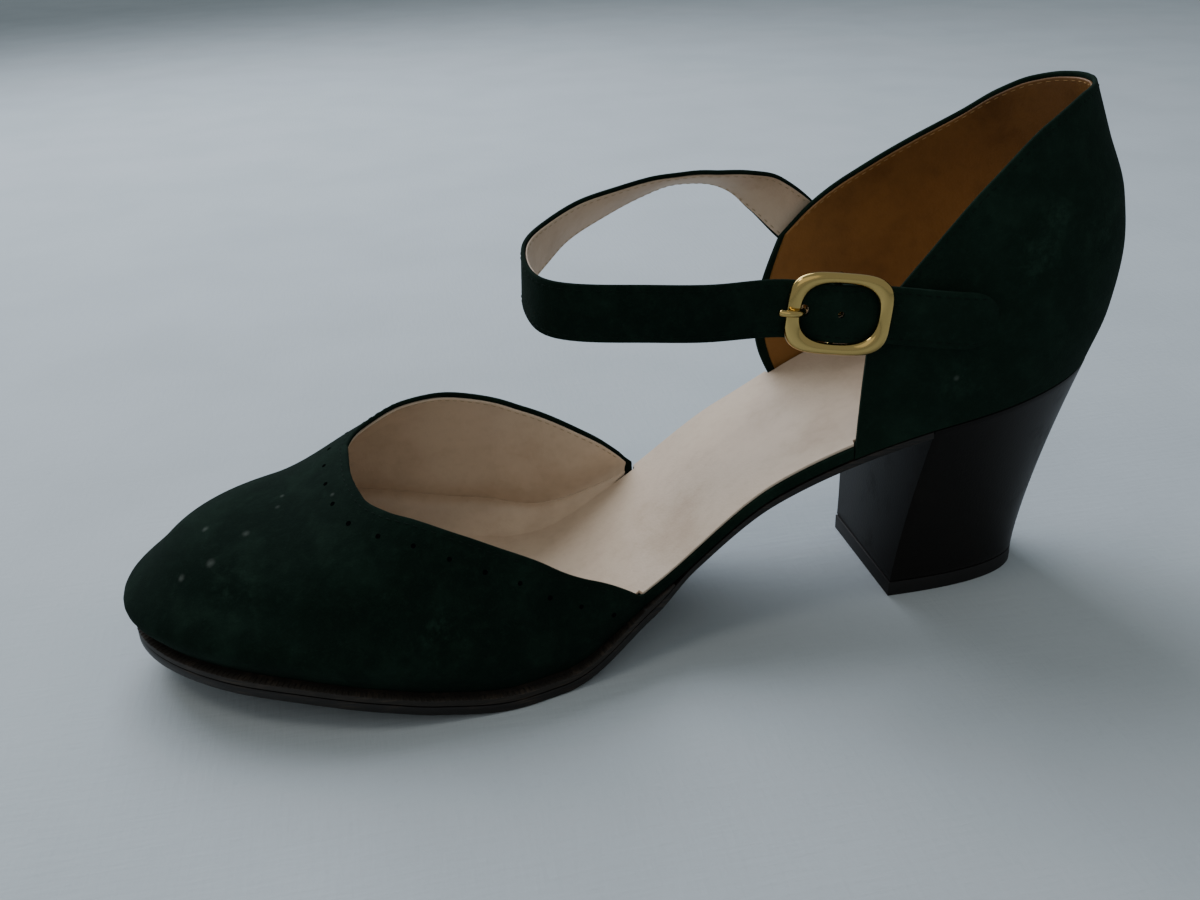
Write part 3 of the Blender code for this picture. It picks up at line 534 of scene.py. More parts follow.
def buckle_frame():
    """Origin and axes of the buckle: along the strap, out from the foot, and across the strap."""
    here = Vector(quarter_point(LATERAL, TAB_SHARE, TAB_HEIGHT))
    behind = Vector(quarter_point(LATERAL, TAB_SHARE - TAB_LENGTH / 2 / LAST_LENGTH, TAB_HEIGHT))
    below = Vector(quarter_point(LATERAL, TAB_SHARE, TAB_HEIGHT - TAB_WIDTH / 2))
    slope = (here.y - behind.y) / (here.x - behind.x)
    along = Vector((1, slope, STRAP_CLIMB)).normalized()
    out = (here - below).cross(along).normalized()
    across = along.cross(out)
    return here, along, out, across


def place(forward, outward, sideways):
    """A point by its distances from where the tab meets the quarter."""
    origin, along, out, across = buckle_frame()
    return origin + along * forward + out * outward + across * sideways


def strap_route():
    """The strap's middle line and its lean, from the medial root round to the free end."""
    points, leans = [], []
    root = QUARTER_TOPLINE[MEDIAL][-1]
    outset = ROOT_GAP + STRAP_THICKNESS / 2
    start = root[1] - LOOP_BACK / LAST_LENGTH
    corner = quarter_point(MEDIAL, start, root[2] * BACK_HEIGHT + LOOP_RISE, outset)
    for back, drop in STRAP_ROOT:
        points.append(quarter_point(MEDIAL, root[1] - back, (root[2] - drop) * BACK_HEIGHT, outset))
        leans.append(0.0)
    for forward, across, rise, lean in STRAP_LOOP:
        x = corner[0] + forward * STRAP_REACH
        y = across * ANKLE_WIDTH / 2
        points.append(np.array([x, y, corner[2] + rise * STRAP_LIFT]))
        leans.append(lean)
    _, along, out, _ = buckle_frame()
    for forward, lift in STRAP_HUMP:
        outward = STRAP_OUT + (STRAP_CREST - STRAP_OUT) * lift
        points.append(np.array(place(BUCKLE_FORWARD + FRAME_HALF * forward, outward, 0)))
        leans.append(math.degrees(math.asin(out.z / math.sqrt(1 - along.z**2))))
    for back, outward in FREE_END_MARKS:
        behind = FRAME_HALF + (FREE_END - FRAME_HALF) * back
        point = place(BUCKLE_FORWARD - behind, STRAP_OUT, 0)
        share = share_at(point.x)
        settled = quarter_point(LATERAL, share, point.z - bottom_at(share), STRAP_OUT * outward)
        points.append(np.array([point.x, settled[1], point.z]))
        leans.append(0.0)
    for i in range(len(STRAP_ROOT)):
        leans[i] = quarter_lean(MEDIAL, points[i], points[i + 1] - points[max(i - 1, 0)])
    for i in range(len(points) - len(FREE_END_MARKS), len(points)):
        leans[i] = quarter_lean(LATERAL, points[i], points[min(i + 1, len(points) - 1)] - points[i - 1])
    return np.array(points), np.array(leans)


def quarter_lean(side, point, direction):
    """How far a strap that passes a point beside the quarter leans to lie flat on it, in degrees."""
    direction = direction / np.linalg.norm(direction)
    across = np.array([0, 0, 1]) - direction * direction[2]
    across *= STRAP_WIDTH / 2 / np.linalg.norm(across)
    stands = []
    for end in (point - across, point + across):
        share = share_at(end[0])
        face = quarter_point(side, share, end[2] - bottom_at(share))
        stands.append(side * (face[1] - end[1]))
    return math.degrees(math.atan2(stands[0] - stands[1], STRAP_WIDTH))


def smooth_route(points, count):
    """Points spaced evenly along a smooth curve through the given ones, and each one's place on it."""
    chords = np.linalg.norm(np.diff(points, axis=0), axis=1)
    marks = np.concatenate([[0], np.cumsum(chords)])
    fine = np.linspace(0, marks[-1], count + 1)
    smooth = np.column_stack([natural_curve(marks, points[:, i], fine) for i in range(3)])
    return smooth, fine, marks


def natural_curve(xs, ys, at):
    """A cubic spline through points, with no bend at its ends."""
    steps = np.diff(xs)
    count = len(xs)
    matrix = np.eye(count)
    target = np.zeros(count)
    for i in range(1, count - 1):
        matrix[i, i - 1 : i + 2] = steps[i - 1], 2 * (steps[i - 1] + steps[i]), steps[i]
        target[i] = 6 * ((ys[i + 1] - ys[i]) / steps[i] - (ys[i] - ys[i - 1]) / steps[i - 1])
    bends = np.linalg.solve(matrix, target)
    i = np.clip(np.searchsorted(xs, at, side="right") - 1, 0, count - 2)
    a = (xs[i + 1] - at) / steps[i]
    b = (at - xs[i]) / steps[i]
    bend = ((a**3 - a) * bends[i] + (b**3 - b) * bends[i + 1]) * steps[i] ** 2 / 6
    return a * ys[i] + b * ys[i + 1] + bend


def strap_frames(steps):
    """Middle points, in-facing and upward unit vectors, and distances from the free end."""
    points, leans = strap_route()
    middle, fine, marks = smooth_route(points, steps)
    tangent = np.gradient(middle, axis=0)
    tangent /= np.linalg.norm(tangent, axis=1)[:, None]
    lean = np.radians(curve_through(marks, leans)(fine))
    up = np.array([0, 0, 1]) - tangent * tangent[:, 2:]
    up /= np.linalg.norm(up, axis=1)[:, None]
    inward = np.cross(up, tangent)
    width = up * np.cos(lean)[:, None] + inward * np.sin(lean)[:, None]
    face = inward * np.cos(lean)[:, None] - up * np.sin(lean)[:, None]
    return middle, face, width, fine[-1] - fine


# Names of the record's material slots
SUEDE_SLOT, SOCK_SLOT, SOLE_SLOT, WELT_SLOT = "suede", "sock_leather", "sole_leather", "welt_leather"
HEEL_SLOT, RUBBER_SLOT, GILT_SLOT = "heel_cover", "heel_rubber", "gilt"

# Fineness of the finished meshes
VAMP_FINE, QUARTER_FINE = (96, 44), (72, 40)
SOLE_STATIONS, MARK_STATIONS = 180, 400
HEEL_FINE, HEEL_ROWS = 40, 30
STRAP_FINE = 420
STRAP_SIDES = 24
WIRE_FINE = 20
BUCKLE_FINE, PRONG_FINE, PRONG_LOOP_FINE = 144, 120, 28
SOCK_SIDE_FINE = 16

# The photograph's camera, in millimetres and degrees: turned from the side view towards the toe,
# raised over the floor and rolled. Focal length is in pixels of a frame 1200 pixels wide.
CAMERA_TURN, CAMERA_RAISE, CAMERA_ROLL = 10.4, 26.2, -2.2
CAMERA_AIM = Vector((90.0, 0.0, 42.0)) * MM
CAMERA_DISTANCE = 293.4 * MM
FOCAL_PIXELS, FRAME_PIXELS = 1203.8, 1200
SENSOR_WIDTH = 36.0

# The buckle's bars: how wide its ends and its long sides are, and how far its window is shifted
BUCKLE_ENDS = 3.1 * MM
BUCKLE_SIDES = 2.4 * MM
OUTER_POWER, WINDOW_POWER = 3.7, 2.7
WINDOW_SHIFT = (-0.1 * MM, 0.1 * MM)

# The spare hole in the strap
SPARE_HOLE = 0.75 * MM

# How near the insole's edge comes to the ends of the quarter and the vamp before it steps in
QUARTER_CLEAR = {LATERAL: 0.15 * MM, MEDIAL: 2.2 * MM}
VAMP_CLEAR = 0.15 * MM
WAIST_STEP = 0.12 * MM

# How far the sock climbs the lining inside the vamp, from the toe back to the waist
SOCK_CLIMB = (
    # around, climb in millimetres
    (0.00, 4.0),
    (0.30, 5.0),
    (0.55, 8.0),
    (0.75, 7.5),
    (0.90, 3.5),
    (1.00, 0.2),
)
SOCK_HOLLOW = 11 * MM
# The least it climbs, the least lining that shows over it, how far it starts under the sock's top,
# and how far its back and its face lie in from the lining
LEAST_CLIMB = 0.2 * MM
LINING_LEFT = 1.5 * MM
SOCK_OVERLAP = 0.05 * MM
SOCK_SIDE_DEPTHS = (0.5 * MM, 0.1 * MM)
# At the open waist the covered edge of the insole shows this much beside the sock
SOCK_MARGIN = 0.4 * MM

# How unevenly the stitches, holes and marks are made
LEAST_SCALE, MOST_SCALE = 0.9, 1.08

# A stitch: how thick its thread is along its length, and how many sides it has
THREAD_SIDES = 6
STITCH_SECTIONS = (
    # share of the length from the middle, share of the thread's radius
    (-0.5, 0.25),
    (-0.36, 0.85),
    (0.0, 1.0),
    (0.36, 0.85),
    (0.5, 0.25),
)

# A punched hole's section, from its middle over the rim and back under it
HOLE_SIDES = 12
HOLE_SECTION = (
    # reach as a share of the hole's radius, height in millimetres
    (0.0, 0.03),
    (1.0, 0.03),
    (1.12, 0.10),
    (1.3, 0.02),
    (1.3, -0.10),
    (0.0, -0.10),
)

# A ridge that the wheel left on the welt: its section along the welt, and its rise across it
MARK_SECTION = (
    # along, height in millimetres
    (-0.30, 0.0),
    (-0.16, 0.16),
    (0.16, 0.16),
    (0.30, 0.0),
    (0.30, -0.10),
    (-0.30, -0.10),
)
MARK_REACHES = (
    # reach in millimetres, rise as a share of the ridge's height
    (-1.05, 0.0),
    (-0.80, 1.0),
    (0.80, 1.0),
    (1.05, 0.0),
)

# Linear colour of a punched hole's inside: painted shade, darker than the suede
HOLE_SHADE_COLOUR = (0.0015, 0.002, 0.002, 1)

# Layers of the finish: the film of glue between two of them, where the strap's suede ends in its
# thickness, and how much narrower its lining is on each edge
GLUE = 0.02 * MM
STRAP_SPLIT = 0.18 * STRAP_THICKNESS
LINING_NARROW = 0.6 * MM

# The welt's top corner, the wheel marks' place on it, and where they start at the waist
WELT_CORNER_IN, WELT_CORNER_DOWN = 0.25 * MM, 0.15 * MM
MARK_INSET = 0.95 * MM
MARK_START = WELT_START + 0.075

# How much further in than on the strap the upper's stitches lie, how many ribs at each end of the
# upper have none, how much of the strap's tip has none, and how many times the distance from the
# edge a rib has to be long to carry a point
UPPER_STITCH_INSET = 0.5 * MM
BARE_RIBS = 3
BARE_TIP = 0.55
SHORTEST_RIB = 2.2

# Roundings of the layers' sides and of the heel's edges
INSOLE_ROUNDING, SOCK_ROUNDING, OUTSOLE_ROUNDING = 0.5 * MM, 0.25 * MM, 0.45 * MM
HEEL_ROUNDING, RUBBER_ROUNDING = 0.2 * MM, 0.12 * MM
SOCK_INSET = 0.25 * MM

# The frame's thickness as a share of its bars', and the prong's tip: over which length it thins and
# by how much, where its end rounds off as a share of its radius, and how far down the end goes
FRAME_FLATNESS = 0.95
THINNING_LENGTH, THINNING = 6 * MM, 0.12
PRONG_END, PRONG_END_LEAST = 0.6, 0.05

# The stage
FLOOR_SIZE = 4.0
WORLD_STRENGTH, WORLD_COLOUR = 0.55, "#c3ccd2"
LIGHTS = (
    # name, place, size, power, colour
    ("window_light", (0.35, -0.7, 0.85), 0.9, 13.5, "#eef3ff"),
    ("room_light", (0.4, 1.1, 0.9), 1.0, 1.4, "#fff6ea"),
    ("lamp", (0.42, 0.16, 0.62), 0.16, 0.5, "#fff8ee"),
)


def linear(code):
    """Linear colour of an sRGB hex value."""
    parts = [int(code[i : i + 2], 16) / 255 for i in (1, 3, 5)]
    return tuple(p / 12.92 if p <= 0.04045 else ((p + 0.055) / 1.055) ** 2.4 for p in parts)


def size_property(name, description, default):
    """A length that a user may change, in metres."""
    return FloatProperty(name=name, description=description, default=default, min=0, unit="LENGTH")


def colour_property(name, description, code):
    """A colour that a user may change."""
    return FloatVectorProperty(
        name=name, description=description, default=linear(code), size=3, subtype="COLOR", min=0, max=1
    )


class ShoeSizes(bpy.types.PropertyGroup):
    """Sizes of the finish."""

    suede: size_property("Suede", "Thickness of the suede", 0.00105)
    lining: size_property("Lining", "Thickness of the lining leather", 0.00065)
    lining_drop: size_property("Lining drop", "How far the lining stops under the top edge", 0.001)
    sock: size_property("Sock", "Thickness of the sock", 0.0008)
    stitch_spacing: size_property("Stitch spacing", "Distance between stitches", 0.0021)
    stitch_length: size_property("Stitch length", "Length of the thread that shows", 0.0014)
    thread: size_property("Thread", "Radius of the thread", 0.00014)
    stitch_inset: size_property("Stitch inset", "Distance of the stitches from an edge", 0.0013)
    hole_spacing: size_property("Hole spacing", "Distance between the punched holes", 0.008)
    hole_radius: size_property("Hole radius", "Radius of a punched hole", 0.00044)
    hole_inset: size_property("Hole inset", "Distance of the holes from the throat's edge", 0.0065)
    wheel_spacing: size_property("Wheel marks", "Distance between the marks on the welt", 0.0013)
    seed: IntProperty(name="Seed", description="Seed of the small unevenness of the stitches", default=4)


class ShoeColours(bpy.types.PropertyGroup):
    """Colours of the finish."""

    suede: colour_property("Suede", "Bottle green of the suede", "#0b1812")
    # The nap colour is also laid over the whole quarter as painted light, paler than the vamp
    nap: colour_property("Nap", "Lighter green where the nap is brushed up", "#24382d")
    lint: colour_property("Lint", "Pale lint on the suede", "#8d948c")
    pink: colour_property("Pink lining", "Pinkish beige of the sock and the linings", "#cbb8a1")
    pink_worn: colour_property("Worn lining", "Browner beige where the lining is worn", "#a2896f")
    tan: colour_property("Tan lining", "Tan of the quarter's lining", "#8e6331")
    tan_dark: colour_property("Dark tan", "Darker tan where the lining is worn", "#5c3c19")
    cover: colour_property("Heel cover", "Very dark brown of the heel's cover", "#110e0c")
    sole: colour_property("Sole", "Dark brown of the sole's edge", "#14110e")
    welt: colour_property("Welt", "Brown of the welt", "#211d18")
    rubber: colour_property("Rubber", "Black of the top piece", "#110e0c")
    gilt: colour_property("Gilt", "Yellow of the gilt brass", "#c4a866")
    thread_dark: colour_property("Dark thread", "Green thread in the suede", "#0d1a14")
    thread_pale: colour_property("Pale thread", "Beige thread in the lining", "#a8987c")
    thread_tan: colour_property("Tan thread", "Thread in the tan lining", "#94744a")
    floor: colour_property("Floor", "Pale grey of the floor", "#b9c1c4")
    floor_shade: colour_property("Floor shade", "Slightly darker grey in the floor's cloth", "#a9b2b5")


# Materials


def add_node(tree, kind, settings=None, links=None):
    """Adds a node, sets its properties or sockets, and links outputs to its inputs."""
    node = tree.nodes.new(kind)
    for key, value in (settings or {}).items():
        if isinstance(key, int) or key in node.inputs:
            node.inputs[key].default_value = value
        else:
            setattr(node, key, value)
    for key, source in (links or {}).items():
        tree.links.new(source, node.inputs[key])
    return node


def new_material(name, uniform):
    """A material whose Principled shader has the same values everywhere, and its object coordinates."""
    made = bpy.data.materials.new(name)
    made.use_nodes = True
    tree = made.node_tree
    tree.nodes.clear()
    shader = add_node(tree, "ShaderNodeBsdfPrincipled", uniform)
    add_node(tree, "ShaderNodeOutputMaterial", links={"Surface": shader.outputs["BSDF"]})
    where = add_node(tree, "ShaderNodeTexCoord").outputs["Object"]
    return made, tree, shader, where


def colour_of(name):
    """A colour of the finish with full alpha."""
    return (*getattr(bpy.context.scene.shoe_colours, name), 1)


def patches(tree, where, size, low, high, detail=2.0, roughness=0.5, distortion=0.0):
    """Patches about a size across: their noise, and the noise turned to 0 under low and 1 over high."""
    look = {"Scale": 1 / size, "Detail": detail, "Roughness": roughness, "Distortion": distortion}
    pattern = add_node(tree, "ShaderNodeTexNoise", look, {"Vector": where}).outputs["Fac"]
    edges = {"From Min": low, "From Max": high, "interpolation_type": "SMOOTHSTEP"}
    soft = add_node(tree, "ShaderNodeMapRange", edges, {"Value": pattern})
    return pattern, soft.outputs["Result"]


def fade_along(tree, where, axis, start, end):
    """0 at one place along an axis of the shoe, rising softly to 1 at another."""
    axes = add_node(tree, "ShaderNodeSeparateXYZ", links={"Vector": where})
    edges = {"From Min": start, "From Max": end, "interpolation_type": "SMOOTHSTEP"}
    return add_node(tree, "ShaderNodeMapRange", edges, {"Value": axes.outputs[axis]}).outputs["Result"]


def weighed_sum(tree, *parts):
    """Adds up patterns, each times its weight."""
    total = None
    for weight, pattern in parts:
        links = {0: pattern} if total is None else {0: pattern, 2: total}
        step = add_node(tree, "ShaderNodeMath", {"operation": "MULTIPLY_ADD", 1: weight, 2: 0.0}, links)
        total = step.outputs[0]
    return total


def paint(tree, shader, colour, *coats):
    """Gives a shader a colour of the shoe, with other colours laid over it, each by its pattern."""
    below = None
    for coat, share in coats:
        settings = {"data_type": "RGBA", 6: colour_of(colour), 7: colour_of(coat)}
        links = {0: share} if below is None else {0: share, 6: below}
        below = add_node(tree, "ShaderNodeMix", settings, links).outputs[2]
    tree.links.new(below, shader.inputs["Base Color"])


def emboss(tree, shader, distance, strength, *parts):
    """Raises the surface by a sum of patterns, each times its weight, a distance high where it is 1."""
    relief = {"Distance": distance, "Strength": strength}
    raised = add_node(tree, "ShaderNodeBump", relief, {"Height": weighed_sum(tree, *parts)})
    tree.links.new(raised.outputs["Normal"], shader.inputs["Normal"])


# Places on the shoe where the suede is rubbed paler, and where lint lies on it, in millimetres, and
# how far each spot reaches
SCUFFS = (
    # x, y, z, radius
    (-8.0, 26.5, 98.0, 9.0),
    (-3.0, 29.0, 89.5, 10.0),
    (-22.0, 20.0, 92.0, 14.0),
    (-28.0, 12.0, 80.0, 11.0),
    (12.0, 30.0, 63.0, 9.0),
    (176.0, 22.0, 28.0, 12.0),
    (133.0, 38.0, 22.0, 11.0),
)
LINT_PLACES = (
    # x, y, z, radius
    (166.0, 1.5, 41.0, 0.9),
    (167.0, 5.5, 40.5, 1.0),
    (174.0, 12.0, 38.0, 1.3),
    (182.0, 16.5, 34.0, 1.6),
    (183.5, 5.5, 36.5, 1.2),
    (189.0, 15.5, 30.5, 1.3),
    (154.0, 11.0, 44.5, 0.8),
    (13.5, 29.5, 64.0, 1.0),
)


def spots(tree, where, places):
    """Soft spots at places on the shoe: 1 in the middle of each, fading to 0 a radius away."""
    found = []
    for x, y, z, radius in places:
        centre = (x * MM, y * MM, z * MM)
        away = add_node(tree, "ShaderNodeVectorMath", {"operation": "DISTANCE", 1: centre}, {0: where})
        fade = {"From Min": radius * MM, "From Max": 0.0, "interpolation_type": "SMOOTHSTEP"}
        spot = add_node(tree, "ShaderNodeMapRange", fade, {"Value": away.outputs["Value"]})
        found.append((1.0, spot.outputs["Result"]))
    return weighed_sum(tree, *found)


def lint_specks(tree, where):
    """The pale specks of lint on the suede, thin and with ragged edges."""
    look = {"Scale": 1 / (0.8 * MM), "Detail": 3, "Roughness": 0.7}
    ragged = add_node(tree, "ShaderNodeTexNoise", look, {"Vector": where}).outputs["Fac"]
    places = spots(tree, where, LINT_PLACES)
    specks = add_node(tree, "ShaderNodeMath", {"operation": "MULTIPLY"}, {0: places, 1: ragged})
    thin = weighed_sum(tree, (0.32, specks.outputs[0]))
    return add_node(tree, "ShaderNodeMath", {"operation": "MINIMUM", 1: 0.2}, {0: thin}).outputs[0]


def suede_material():
    """Split suede, brushed: a deep matt green whose nap lies in paler and darker patches."""
    uniform = {
        "Roughness": 0.95,
        "Specular IOR Level": 0.05,
        "Sheen Weight": 0.012,
        "Sheen Roughness": 0.45,
        "Sheen Tint": (0.45, 0.75, 0.62, 1),
    }
    made, tree, shader, where = new_material("bottle_green_suede", uniform)
    # The nap is drawn about 0.5 mm coarse so that it shows in the render.
    fibre, nap = patches(tree, where, 0.5 * MM, 0.5, 0.8, detail=3, roughness=0.7)
    brushed, strokes = patches(tree, where, 11 * MM, 0.42, 0.75, detail=4, roughness=0.6, distortion=0.3)
    _, mottle = patches(tree, where, 2.2 * MM, 0.45, 0.75, detail=3, roughness=0.6)
    _, patchy = patches(tree, where, 3.5 * MM, 0.44, 0.74, detail=5, roughness=0.7, distortion=0.2)
    rubbed = {0: spots(tree, where, SCUFFS), 1: patchy}
    scuffed = add_node(tree, "ShaderNodeMath", {"operation": "MULTIPLY"}, rubbed).outputs[0]
    # The quarter is painted a little paler all over than the vamp: painted light, for the light that
    # falls more frontally on the quarter. The mix below holds the nap, its wear and this painted light.
    painted_quarter_light = fade_along(tree, where, "X", 70 * MM, 35 * MM)
    worn = ((0.22, strokes), (0.6, scuffed), (0.22, nap), (0.12, mottle), (0.16, painted_quarter_light))
    paint(tree, shader, "suede", ("nap", weighed_sum(tree, *worn)), ("lint", lint_specks(tree, where)))
    emboss(tree, shader, 0.22 * MM, 0.8, (1.0, fibre), (0.8, brushed))
    return made


def lining_material(name, colour, worn, gloss):
    """Smooth lining leather: fine pores, soft stains where the foot rubs, a low polish."""
    made, tree, shader, where = new_material(name, {"Roughness": gloss, "Specular IOR Level": 0.35})
    _, stains = patches(tree, where, 22 * MM, 0.4, 0.78, detail=4, roughness=0.6)
    _, mottle = patches(tree, where, 2.5 * MM, 0.45, 0.75, detail=3)
    # High up in the back of the shoe the foot's heel has rubbed the lining darker.
    rubbed = fade_along(tree, where, "Z", 70 * MM, 120 * MM)
    paint(tree, shader, colour, (worn, weighed_sum(tree, (0.55, stains), (0.12, mottle), (0.6, rubbed))))
    pores = add_node(tree, "ShaderNodeTexVoronoi", {"Scale": 1 / (0.7 * MM)}, {"Vector": where})
    look = {"Scale": 1 / (6 * MM), "Detail": 3, "Distortion": 1.2}
    folds = add_node(tree, "ShaderNodeTexNoise", look, {"Vector": where})
    emboss(tree, shader, 0.06 * MM, 0.6, (1.0, pores.outputs["Distance"]), (2.5, folds.outputs["Fac"]))
    return made


def cover_material():
    """Calf leather over the heel: nearly black brown, polished, with a fine grain and a few rubs."""
    made, tree, shader, where = new_material("dark_brown_heel_leather", {"Specular IOR Level": 0.11})
    _, rubs = patches(tree, where, 9 * MM, 0.5, 0.8, detail=5, roughness=0.7)
    paint(tree, shader, "cover", ("welt", weighed_sum(tree, (0.35, rubs))))
    rough = add_node(tree, "ShaderNodeMath", {"operation": "MULTIPLY_ADD", 1: 0.15, 2: 0.42}, {0: rubs})
    tree.links.new(rough.outputs[0], shader.inputs["Roughness"])
    grain = add_node(tree, "ShaderNodeTexVoronoi", {"Scale": 1 / (0.6 * MM)}, {"Vector": where})
    emboss(tree, shader, 0.03 * MM, 0.5, (1.0, grain.outputs["Distance"]))
    return made


def edge_material(name, colour, rough):
    """Stained and waxed cut leather: fine layers along the edge, worn a little paler."""
    made, tree, shader, where = new_material(name, {"Roughness": rough, "Specular IOR Level": 0.3})
    stretch = add_node(tree, "ShaderNodeMapping", {"Scale": (0.06, 0.06, 1.0)}, {"Vector": where})
    stretched = stretch.outputs["Vector"]
    layers, streaks = patches(tree, stretched, 0.4 * MM, 0.45, 0.75, detail=3, roughness=0.6)
    _, worn = patches(tree, where, 8 * MM, 0.35, 0.7, detail=3)
    paler = add_node(tree, "ShaderNodeMath", {"operation": "MULTIPLY"}, {0: streaks, 1: worn})
    paint(tree, shader, colour, ("pink_worn", weighed_sum(tree, (0.12, paler.outputs[0]))))
    emboss(tree, shader, 0.05 * MM, 0.6, (1.0, layers))
    return made


def rubber_material():
    """Moulded black rubber: matt, dusty, with a fine pebble."""
    uniform = {"Roughness": 0.6, "Specular IOR Level": 0.3}
    made, tree, shader, where = new_material("black_top_piece_rubber", uniform)
    _, dust = patches(tree, where, 4 * MM, 0.45, 0.8, detail=4)
    paint(tree, shader, "rubber", ("welt", weighed_sum(tree, (0.3, dust))))
    pebble = add_node(tree, "ShaderNodeTexNoise", {"Scale": 1 / (0.5 * MM)}, {"Vector": where})
    emboss(tree, shader, 0.04 * MM, 0.6, (1.0, pebble.outputs["Fac"]))
    return made


def gilt_material():
    """Gilt brass, cast and polished: yellow, bright, with fine handling marks."""
    uniform = {"Base Color": colour_of("gilt"), "Metallic": 1.0}
    made, tree, shader, where = new_material("polished_gilt_brass", uniform)
    marks, dull = patches(tree, where, 1.5 * MM, 0.4, 0.8, detail=5, roughness=0.7)
    rough = add_node(tree, "ShaderNodeMath", {"operation": "MULTIPLY_ADD", 1: 0.12, 2: 0.1}, {0: dull})
    tree.links.new(rough.outputs[0], shader.inputs["Roughness"])
    emboss(tree, shader, 0.02 * MM, 0.5, (1.0, marks))
    return made


def thread_material(name, colour):
    """Waxed sewing thread: matt, with the twist as a fine ripple."""
    uniform = {"Base Color": colour_of(colour), "Roughness": 0.85, "Specular IOR Level": 0.1}
    made, tree, shader, where = new_material(name, uniform)
    twist = add_node(tree, "ShaderNodeTexNoise", {"Scale": 1 / (0.3 * MM)}, {"Vector": where})
    emboss(tree, shader, 0.03 * MM, 0.5, (1.0, twist.outputs["Fac"]))
    return made


def hole_shade_material():
    """The inside of a punched hole: painted shade, dark, with no shine."""
    uniform = {"Base Color": HOLE_SHADE_COLOUR, "Roughness": 1.0, "Specular IOR Level": 0.0}
    return new_material("punched_hole_shade", uniform)[0]


def floor_material():
    """Pale grey cloth, matt, with a faint weave and soft undulations."""
    uniform = {"Roughness": 0.95, "Specular IOR Level": 0.1}
    made, tree, shader, where = new_material("pale_grey_floor", uniform)
    _, clouds = patches(tree, where, 60 * MM, 0.3, 0.75, detail=4)
    _, flecks = patches(tree, where, 2.5 * MM, 0.55, 0.8, detail=3, roughness=0.7)
    paint(tree, shader, "floor", ("floor_shade", weighed_sum(tree, (0.35, clouds), (0.25, flecks))))
    heights = []
    weave = {"Scale": 1 / (1.4 * MM)}
    for stretch in ((0.15, 1.0, 1.0), (1.0, 0.15, 1.0)):
        turned = add_node(tree, "ShaderNodeMapping", {"Scale": stretch}, {"Vector": where})
        thread = add_node(tree, "ShaderNodeTexNoise", weave, {"Vector": turned.outputs["Vector"]})
        heights.append((1.0, thread.outputs["Fac"]))
    swells = add_node(tree, "ShaderNodeTexNoise", {"Scale": 1 / (90 * MM)}, {"Vector": where})
    heights.append((12.0, swells.outputs["Fac"]))
    emboss(tree, shader, 0.3 * MM, 0.5, *heights)
    return made


MAKERS = {
    "suede": suede_material,
    "pink": lambda: lining_material("pink_beige_lining", "pink", "pink_worn", 0.55),
    "tan": lambda: lining_material("tan_lining", "tan", "tan_dark", 0.48),
    "cover": cover_material,
    "sole": lambda: edge_material("waxed_sole_edge", "sole", 0.45),
    "welt": lambda: edge_material("welt_leather_edge", "welt", 0.6),
    "rubber": rubber_material,
    "gilt": gilt_material,
    "thread_dark": lambda: thread_material("green_thread", "thread_dark"),
    "thread_pale": lambda: thread_material("beige_thread", "thread_pale"),
    "thread_tan": lambda: thread_material("tan_thread", "thread_tan"),
    "hollow": hole_shade_material,
    "floor": floor_material,
}
FINISHES = {}


def finish(name):
    """A material of the shoe, made when it is first asked for."""
    if name not in FINISHES:
        FINISHES[name] = MAKERS[name]()
    return FINISHES[name]


# Meshes


def mesh_object(name, points, faces, materials):
    """A mesh object at the origin, from points and faces."""
    mesh = bpy.data.meshes.new(name)
    mesh.from_pydata([tuple(p) for p in points], [], [tuple(f) for f in faces])
    for item in materials:
        mesh.materials.append(finish(item))
    obj = bpy.data.objects.new(name, mesh)
    bpy.context.scene.collection.objects.link(obj)
    return obj


def grid_faces(rows, columns, closed=False):
    """Quads between the points of a grid, whose columns may close into rings."""
    faces = []
    for i in range(rows - 1):
        here, beyond = i * columns, (i + 1) * columns
        for j in range(columns if closed else columns - 1):
            k = (j + 1) % columns
            faces.append((here + j, beyond + j, beyond + k, here + k))
    return faces


def capped_faces(rows, columns):
    """The faces of a closed solid through rings of points, with flat ends."""
    faces = grid_faces(rows, columns, closed=True)
    faces.append(tuple(range(columns)))
    faces.append(tuple(range((rows - 1) * columns, rows * columns))[::-1])
    return faces


def drop_flakes(shape):
    """Deletes pairs of faces that lie back to back on the same corners."""
    seen = {}
    for face in shape.faces:
        seen.setdefault(frozenset(face.verts), []).append(face)
    flakes = [face for twins in seen.values() if len(twins) > 1 for face in twins]
    bmesh.ops.delete(shape, geom=flakes, context="FACES")


def tidy_mesh(obj, sharp=40, cut=False):
    """Merges doubles, turns the faces of a closed mesh outwards and shades it smooth."""
    shape = bmesh.new()
    shape.from_mesh(obj.data)
    if cut:
        bmesh.ops.triangulate(shape, faces=shape.faces)
    bmesh.ops.remove_doubles(shape, verts=shape.verts, dist=2e-6)
    bmesh.ops.dissolve_degenerate(shape, edges=shape.edges, dist=1e-7)
    if cut:
        drop_flakes(shape)
    bmesh.ops.recalc_face_normals(shape, faces=shape.faces)
    shape.to_mesh(obj.data)
    shape.free()
    obj.data.shade_smooth()
    obj.data.set_sharp_from_angle(angle=math.radians(sharp))


def settle(obj):
    """Turns an object's modifiers into its plain mesh."""
    graph = bpy.context.evaluated_depsgraph_get()
    mesh = bpy.data.meshes.new_from_object(obj.evaluated_get(graph))
    obj.modifiers.clear()
    obj.data = mesh
    return obj


def soften(obj, width, segments=2, angle=35):
    """Rounds the sharp edges of an object."""
    edge = obj.modifiers.new("Rounded edges", "BEVEL")
    edge.width = width
    edge.segments = segments
    edge.limit_method = "ANGLE"
    edge.angle_limit = math.radians(angle)
    edge.use_clamp_overlap = True


def finished(obj, slot, *nodes):
    """Says where a piece belongs: on the one body, for some solids, which it hides; its slot is not used.
    """
    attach(obj, "root")
    if nodes:
        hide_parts(*nodes)
    return obj


